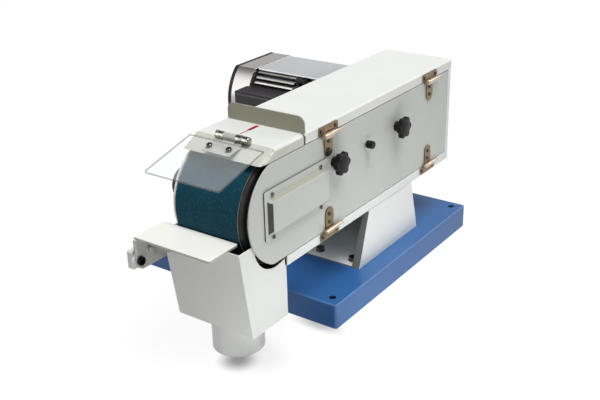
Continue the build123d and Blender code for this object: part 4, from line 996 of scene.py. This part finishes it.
@dataclass
class Shield(SubAssembly):
    """Clear eye shield on its chrome pivot, held by two cross-recessed screws."""

    pivot: Point = (132.0, -425.0, 435.5)
    tilt_deg: float = 14.0
    screw_half_spacing: float = 23.0
    screw_reach: float = 36.0
    seat: float = 0.5
    head_radius: float = 6.0
    head_height: float = 3.8
    rim_share: float = 0.35
    dome_rings: int = 6
    shank_radius: float = 2.0
    shank_end: float = 1.0
    grip: float = 6.5
    nut_radius: float = 4.0
    nut_height: float = 3.0
    nut_sides: int = 6
    recess_length: float = 6.4
    recess_width: float = 1.5
    recess_depth: float = 2.0
    sides: int = 32
    square_facing: float = 0.9

    def build(self) -> None:
        """Round and dress the shield's pieces and set its screws."""
        sheet = soften("eye_shield", CLEAR_ACRYLIC, ACRYLIC_EDGE, edge_mm=0.5, choose=self.sheet_finish)
        # So clear a sheet casts hardly any shadow
        sheet.visible_shadow = False
        soften("shield_leaf", SHADE_GREY_COAT, edge_mm=0.4)
        for node in ("shield_lugs", "shield_bolt"):
            soften(node, CHROME, edge_mm=0.5)
        for side in (-1, 1):
            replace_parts(self.screw(side), "shield_screws")

    def plane(self) -> Matrix:
        """Return the place of the tilted sheet, with Z square to it."""
        tilt = Matrix.Rotation(math.radians(self.tilt_deg), 4, "X")
        return Matrix.Translation(Vector(self.pivot) * MM) @ tilt

    def sheet_finish(self, face: Face) -> int:
        """Return zero for the sheet's broad faces and one for its cut edge."""
        square = self.plane().to_3x3() @ Vector((0.0, 0.0, 1.0))
        return int(abs(face.normal.dot(square)) < self.square_facing)

    def screw(self, side: int) -> Piece:
        """Make one screw with its nut.

        Args:
            side: Minus one for the left screw, one for the right.

        Returns:
            The screw.
        """
        dome = [math.pi / 2 * ring / self.dome_rings for ring in range(self.dome_rings + 1)]
        rim = self.rim_share * self.head_height
        crown = self.head_height - rim
        head = [(self.head_radius * math.cos(a), rim + crown * math.sin(a)) for a in dome]
        tail = -self.grip - self.nut_height - self.shank_end
        foot = [(0.0, tail), (self.shank_radius, tail), (self.shank_radius, 0.0), (self.head_radius, 0.0)]
        body = turned([*foot, *head], self.sides)
        cross = bmesh.new()
        middle = Matrix.Translation((0.0, 0.0, self.head_height * MM))
        deep = 2 * self.recess_depth * MM
        size = (self.recess_length, self.recess_width)
        for long, wide in (size, size[::-1]):
            bar = Matrix.Diagonal((long * MM, wide * MM, deep, 1.0))
            bmesh.ops.create_cube(cross, size=1.0, matrix=middle @ bar)
        mesh = carved(body, cross)
        under = Matrix.Translation((0.0, 0.0, -(self.grip + self.nut_height / 2) * MM))
        bmesh.ops.create_cone(
            mesh,
            cap_ends=True,
            segments=self.nut_sides,
            radius1=self.nut_radius * MM,
            radius2=self.nut_radius * MM,
            depth=self.nut_height * MM,
            matrix=under,
        )
        local = Vector((side * self.screw_half_spacing, -self.screw_reach, self.seat)) * MM
        bmesh.ops.transform(mesh, matrix=self.plane() @ Matrix.Translation(local), verts=mesh.verts)
        name = "shield_screw_left" if side < 0 else "shield_screw_right"
        return new_piece(name, mesh, BODY_OF["shield_screws"], DARK_STEEL)


@dataclass
class DustChute(SubAssembly):
    """Sheet chute under the wheel and its hose spout."""

    middle: Point = (130.0, -450.0, 130.0)

    def build(self) -> None:
        """Round and dress chute and spout."""
        soften("dust_chute", WHITE_COAT, DUST_AND_SHADE_COAT, choose=self.chute_finish)
        soften("dust_spout", WHITE_COAT)

    def chute_finish(self, face: Face) -> int:
        """Return one for the chute's dusty inside and zero for its outside."""
        inward = Vector(self.middle) * MM - face.calc_center_median()
        return int(face.normal.dot(inward) > 0.0)


@dataclass
class Studio:
    """Pale floor, soft lamps and the camera at the photograph's viewpoint, in metres."""

    floor_half: float = 14.0
    camera_place: Point = (1.1652, -1.6359, 1.0123)
    azimuth_deg: float = 35.99
    elevation_deg: float = 24.04
    roll_deg: float = -1.61
    lens_mm: float = 54.67
    sensor_mm: float = 36.0
    sky_light: float = 0.14
    mirrored_low: float = 1.0
    mirrored_high: float = 0.08
    ceiling_heights: Pair = (0.1, 0.85)
    softbox_from: Point = (-0.56, -0.76, 0.33)
    softbox_rim: Pair = (0.8, 0.96)
    softbox_light: float = 2.0
    key_from: Point = (0.265, -0.08, 0.961)
    key_strength: float = 2.8
    key_spread_deg: float = 36.0
    rim_from: Point = (0.45, 0.75, 0.48)
    rim_strength: float = 0.5
    rim_spread_deg: float = 12.0
    fill_place: Point = (0.07, -0.23, 0.17)
    fill_sides: Pair = (0.2, 0.1)
    fill_watts: float = 0.057
    fill_spread_deg: float = 100.0
    floor_seen: float = 0.08
    floor_glow: float = 0.93
    bounce_near: float = 0.95
    bounce_far: float = 0.3
    pool_middle: Point = (0.46, -0.3, 0.0)
    pool_radii: Pair = (0.08, 0.8)
    pool_glow: float = 0.95
    # Painted shadows on the floor: contact shades where it is seen, and the hollow and nook, which dim the
    # light that it gives back
    contact_shades: tuple[Oval, ...] = (
        ((0.174, -0.494, 0.0), (0.05, 0.05, 1.0), 0.3),
        ((0.205, -0.46, 0.0), (0.085, 0.085, 1.0), 0.84),
        ((0.232, -0.297, 0.0), (0.08, 0.032, 1.0), 0.5),
    )
    hollow: Oval = ((0.13, -0.44, 0.0), (0.38, 0.3, 1.0), 0.3)
    nook: Oval = ((0.25, -0.36, 0.0), (0.14, 0.12, 1.0), 0.05)
    oval_core: float = 0.1
    base_half: Pair = (0.273, 0.293)

    def sky(self) -> None:
        """White behind the object, a ceiling that mirrors darker, and an even, weaker light."""
        world = bpy.data.worlds.new("studio_white")
        bpy.context.scene.world = world
        tree = empty_tree(world)
        path = add_node(tree, "LightPath").outputs
        heading = add_node(tree, "TexCoord").outputs["Generated"]
        height = add_node(tree, "SeparateXYZ", {0: heading}).outputs["Z"]
        low, high = self.ceiling_heights
        rise = {"Value": height, "From Min": low, "From Max": high}
        ends = {"To Min": self.mirrored_low, "To Max": self.mirrored_high}
        ceiling = add_node(tree, "MapRange", {**rise, **ends})
        aim = add_node(tree, "VectorMath", {0: heading, 1: self.softbox_from}, operation="DOT_PRODUCT")
        outer, inner = self.softbox_rim
        spill = {"From Min": outer, "From Max": inner, "To Max": self.softbox_light}
        softbox = add_node(tree, "MapRange", {**spill, "Value": aim.outputs["Value"]})
        mirrored = add_node(tree, "Math", {0: ceiling, 1: softbox}, operation="ADD")
        lit = {0: path["Is Glossy Ray"], 2: self.sky_light, 3: mirrored}
        unseen = add_node(tree, "Mix", lit, data_type="FLOAT")
        straight = {0: path["Is Camera Ray"], 1: path["Is Transmission Ray"]}
        seen = add_node(tree, "Math", straight, operation="MAXIMUM")
        level = add_node(tree, "Mix", {0: seen, 2: unseen, 3: 1.0}, data_type="FLOAT")
        glow = add_node(tree, "Background", {"Color": WHITE, "Strength": level})
        add_node(tree, "OutputWorld", {"Surface": glow})

    def shade(self, tree: Tree, place: Socket, spot: Oval) -> Socket:
        """Dim a soft oval of the floor.

        Args:
            tree: Node tree of the floor's paper.
            place: Coordinates of the floor.
            spot: The oval.

        Returns:
            The share of light left at each point.
        """
        middle, halves, kept = spot
        away = add_node(tree, "VectorMath", {0: place, 1: middle}, operation="SUBTRACT")
        oval = add_node(tree, "VectorMath", {0: away, 1: halves}, operation="DIVIDE")
        reach = add_node(tree, "VectorMath", {0: oval}, operation="LENGTH").outputs["Value"]
        ends = {"From Min": self.oval_core, "From Max": 1.0, "To Min": kept, "To Max": 1.0}
        left = add_node(tree, "MapRange", {**ends, "Value": reach}, interpolation_type="SMOOTHSTEP")
        return left.outputs[0]

    def open_floor(self, tree: Tree, place: Socket) -> Socket:
        """Tell the open floor from the floor under the base.

        Args:
            tree: Node tree of the floor's paper.
            place: Coordinates of the floor.

        Returns:
            One on the open floor and zero under the base.
        """
        size = add_node(tree, "VectorMath", {0: place}, operation="ABSOLUTE")
        edge = {0: size, 1: (*self.base_half, 0.0)}
        past = add_node(tree, "VectorMath", edge, operation="SUBTRACT")
        sides = add_node(tree, "SeparateXYZ", {0: past}).outputs
        outside = add_node(tree, "Math", {0: sides["X"], 1: sides["Y"]}, operation="MAXIMUM")
        return add_node(tree, "Math", {0: outside, 1: 0.0}, operation="GREATER_THAN").outputs[0]

    def paper(self) -> bpy.types.Material:
        """Make the floor's paper: white where it is seen, a painted pool of light in place of bounced
        light, painted shade under the base.

        Returns:
            The floor's material.
        """
        made = bpy.data.materials.new("white_studio_paper")
        tree = empty_tree(made)
        path = add_node(tree, "LightPath").outputs
        either = {0: path["Is Camera Ray"], 1: path["Is Glossy Ray"]}
        plain = add_node(tree, "Math", either, operation="MAXIMUM")
        straight = {0: plain, 1: path["Is Transmission Ray"]}
        seen = add_node(tree, "Math", straight, operation="MAXIMUM")
        place = add_node(tree, "TexCoord").outputs["Object"]
        away = add_node(tree, "VectorMath", {0: place, 1: self.pool_middle}, operation="DISTANCE")
        near, far = self.pool_radii
        fall = {"Value": away.outputs["Value"], "From Min": near, "From Max": far}
        pool = add_node(tree, "MapRange", {**fall, "To Min": self.bounce_near, "To Max": self.bounce_far})
        nook = self.shade(tree, place, self.nook)
        bounce = add_node(tree, "Math", {0: pool, 1: nook}, operation="MULTIPLY")
        tone = {0: seen, 2: bounce, 3: self.floor_seen}
        grey = add_node(tree, "Mix", tone, data_type="FLOAT")
        colour = add_node(tree, "CombineColor", {0: grey, 1: grey, 2: grey})
        matt = add_node(tree, "BsdfDiffuse", {"Color": colour})
        # No glow under the base: painted shade there
        bare = {0: self.open_floor(tree, place), 1: self.floor_glow}
        shown = add_node(tree, "Math", bare, operation="MULTIPLY")
        shades = [self.shade(tree, place, spot) for spot in self.contact_shades]
        mirrored = add_node(tree, "Mix", {0: path["Is Glossy Ray"], 2: 1.0, 3: nook}, data_type="FLOAT")
        for kept in (*shades, mirrored):
            shown = add_node(tree, "Math", {0: shown, 1: kept}, operation="MULTIPLY")
        unseen = add_node(tree, "MapRange", {**fall, "To Min": self.pool_glow, "To Max": 0.0})
        for kept in (self.shade(tree, place, self.hollow), nook):
            unseen = add_node(tree, "Math", {0: unseen, 1: kept}, operation="MULTIPLY")
        glows = {0: seen, 2: unseen, 3: shown}
        level = add_node(tree, "Mix", glows, data_type="FLOAT")
        glow = add_node(tree, "Emission", {"Color": WHITE, "Strength": level})
        both = add_node(tree, "AddShader", {0: matt, 1: glow})
        add_node(tree, "OutputMaterial", {"Surface": both})
        return made

    def floor(self) -> None:
        """Lay a wide pale floor that keeps the object's shadow."""
        mesh = bmesh.new()
        bmesh.ops.create_grid(mesh, x_segments=1, y_segments=1, size=self.floor_half)
        ground = to_object("floor", mesh)
        ground.data.materials.append(self.paper())

    def lamp(self, name: str, come_from: Point, strength: float, spread_deg: float) -> None:
        """Hang one distant lamp.

        Args:
            name: Name of the lamp.
            come_from: Direction that its light comes from.
            strength: Its strength.
            spread_deg: Angle that it fills in the sky, which softens its shadows.
        """
        data = bpy.data.lights.new(name, "SUN")
        data.energy = strength
        data.angle = math.radians(spread_deg)
        lamp = add_object(name, data)
        lamp.rotation_euler = Vector(come_from).to_track_quat("Z", "Y").to_euler()

    def fill(self) -> None:
        """Hang a weak flat lamp under the housing, which lights only the tray below it."""
        data = bpy.data.lights.new("fill", "AREA")
        data.shape = "RECTANGLE"
        data.size, data.size_y = self.fill_sides
        data.energy = self.fill_watts
        data.spread = math.radians(self.fill_spread_deg)
        lamp = add_object("fill", data)
        lamp.location = self.fill_place
        lamp.visible_camera = False
        lamp.visible_glossy = False

    def camera(self) -> None:
        """Set the camera at the solved viewpoint."""
        turn, lift, roll = (math.radians(a) for a in (self.azimuth_deg, self.elevation_deg, self.roll_deg))
        ahead = Vector((-math.sin(turn) * math.cos(lift), math.cos(turn) * math.cos(lift), -math.sin(lift)))
        level = Vector((math.cos(turn), math.sin(turn), 0.0))
        upright = level.cross(ahead)
        right = level * math.cos(roll) + upright * math.sin(roll)
        up = upright * math.cos(roll) - level * math.sin(roll)
        data = bpy.data.cameras.new("camera")
        data.lens = self.lens_mm
        data.sensor_width = self.sensor_mm
        eye = add_object("camera", data)
        rows = Matrix((right, up, -ahead)).transposed().to_4x4()
        eye.matrix_world = Matrix.Translation(self.camera_place) @ rows
        bpy.context.scene.camera = eye

    def build(self) -> None:
        """Set up background, floor, light and camera."""
        bpy.context.scene.view_settings.view_transform = "Standard"
        self.sky()
        self.floor()
        self.lamp("key", self.key_from, self.key_strength, self.key_spread_deg)
        self.lamp("rim", self.rim_from, self.rim_strength, self.rim_spread_deg)
        self.fill()
        self.camera()


def main() -> None:
    """Build every group in order."""
    logging.basicConfig(level=logging.INFO, format="%(message)s")
    knobs = (StarKnob("front_knob"), StarKnob("rear_knob"), StarKnob("arm_knob", outward=-1))
    works = (BeltDrive(), Motor(), Table(), Shield(), DustChute())
    for group in (Base(), Housing(), Door(), *knobs, *works, Studio()):
        group.build()


if __name__ == "__main__":
    main()
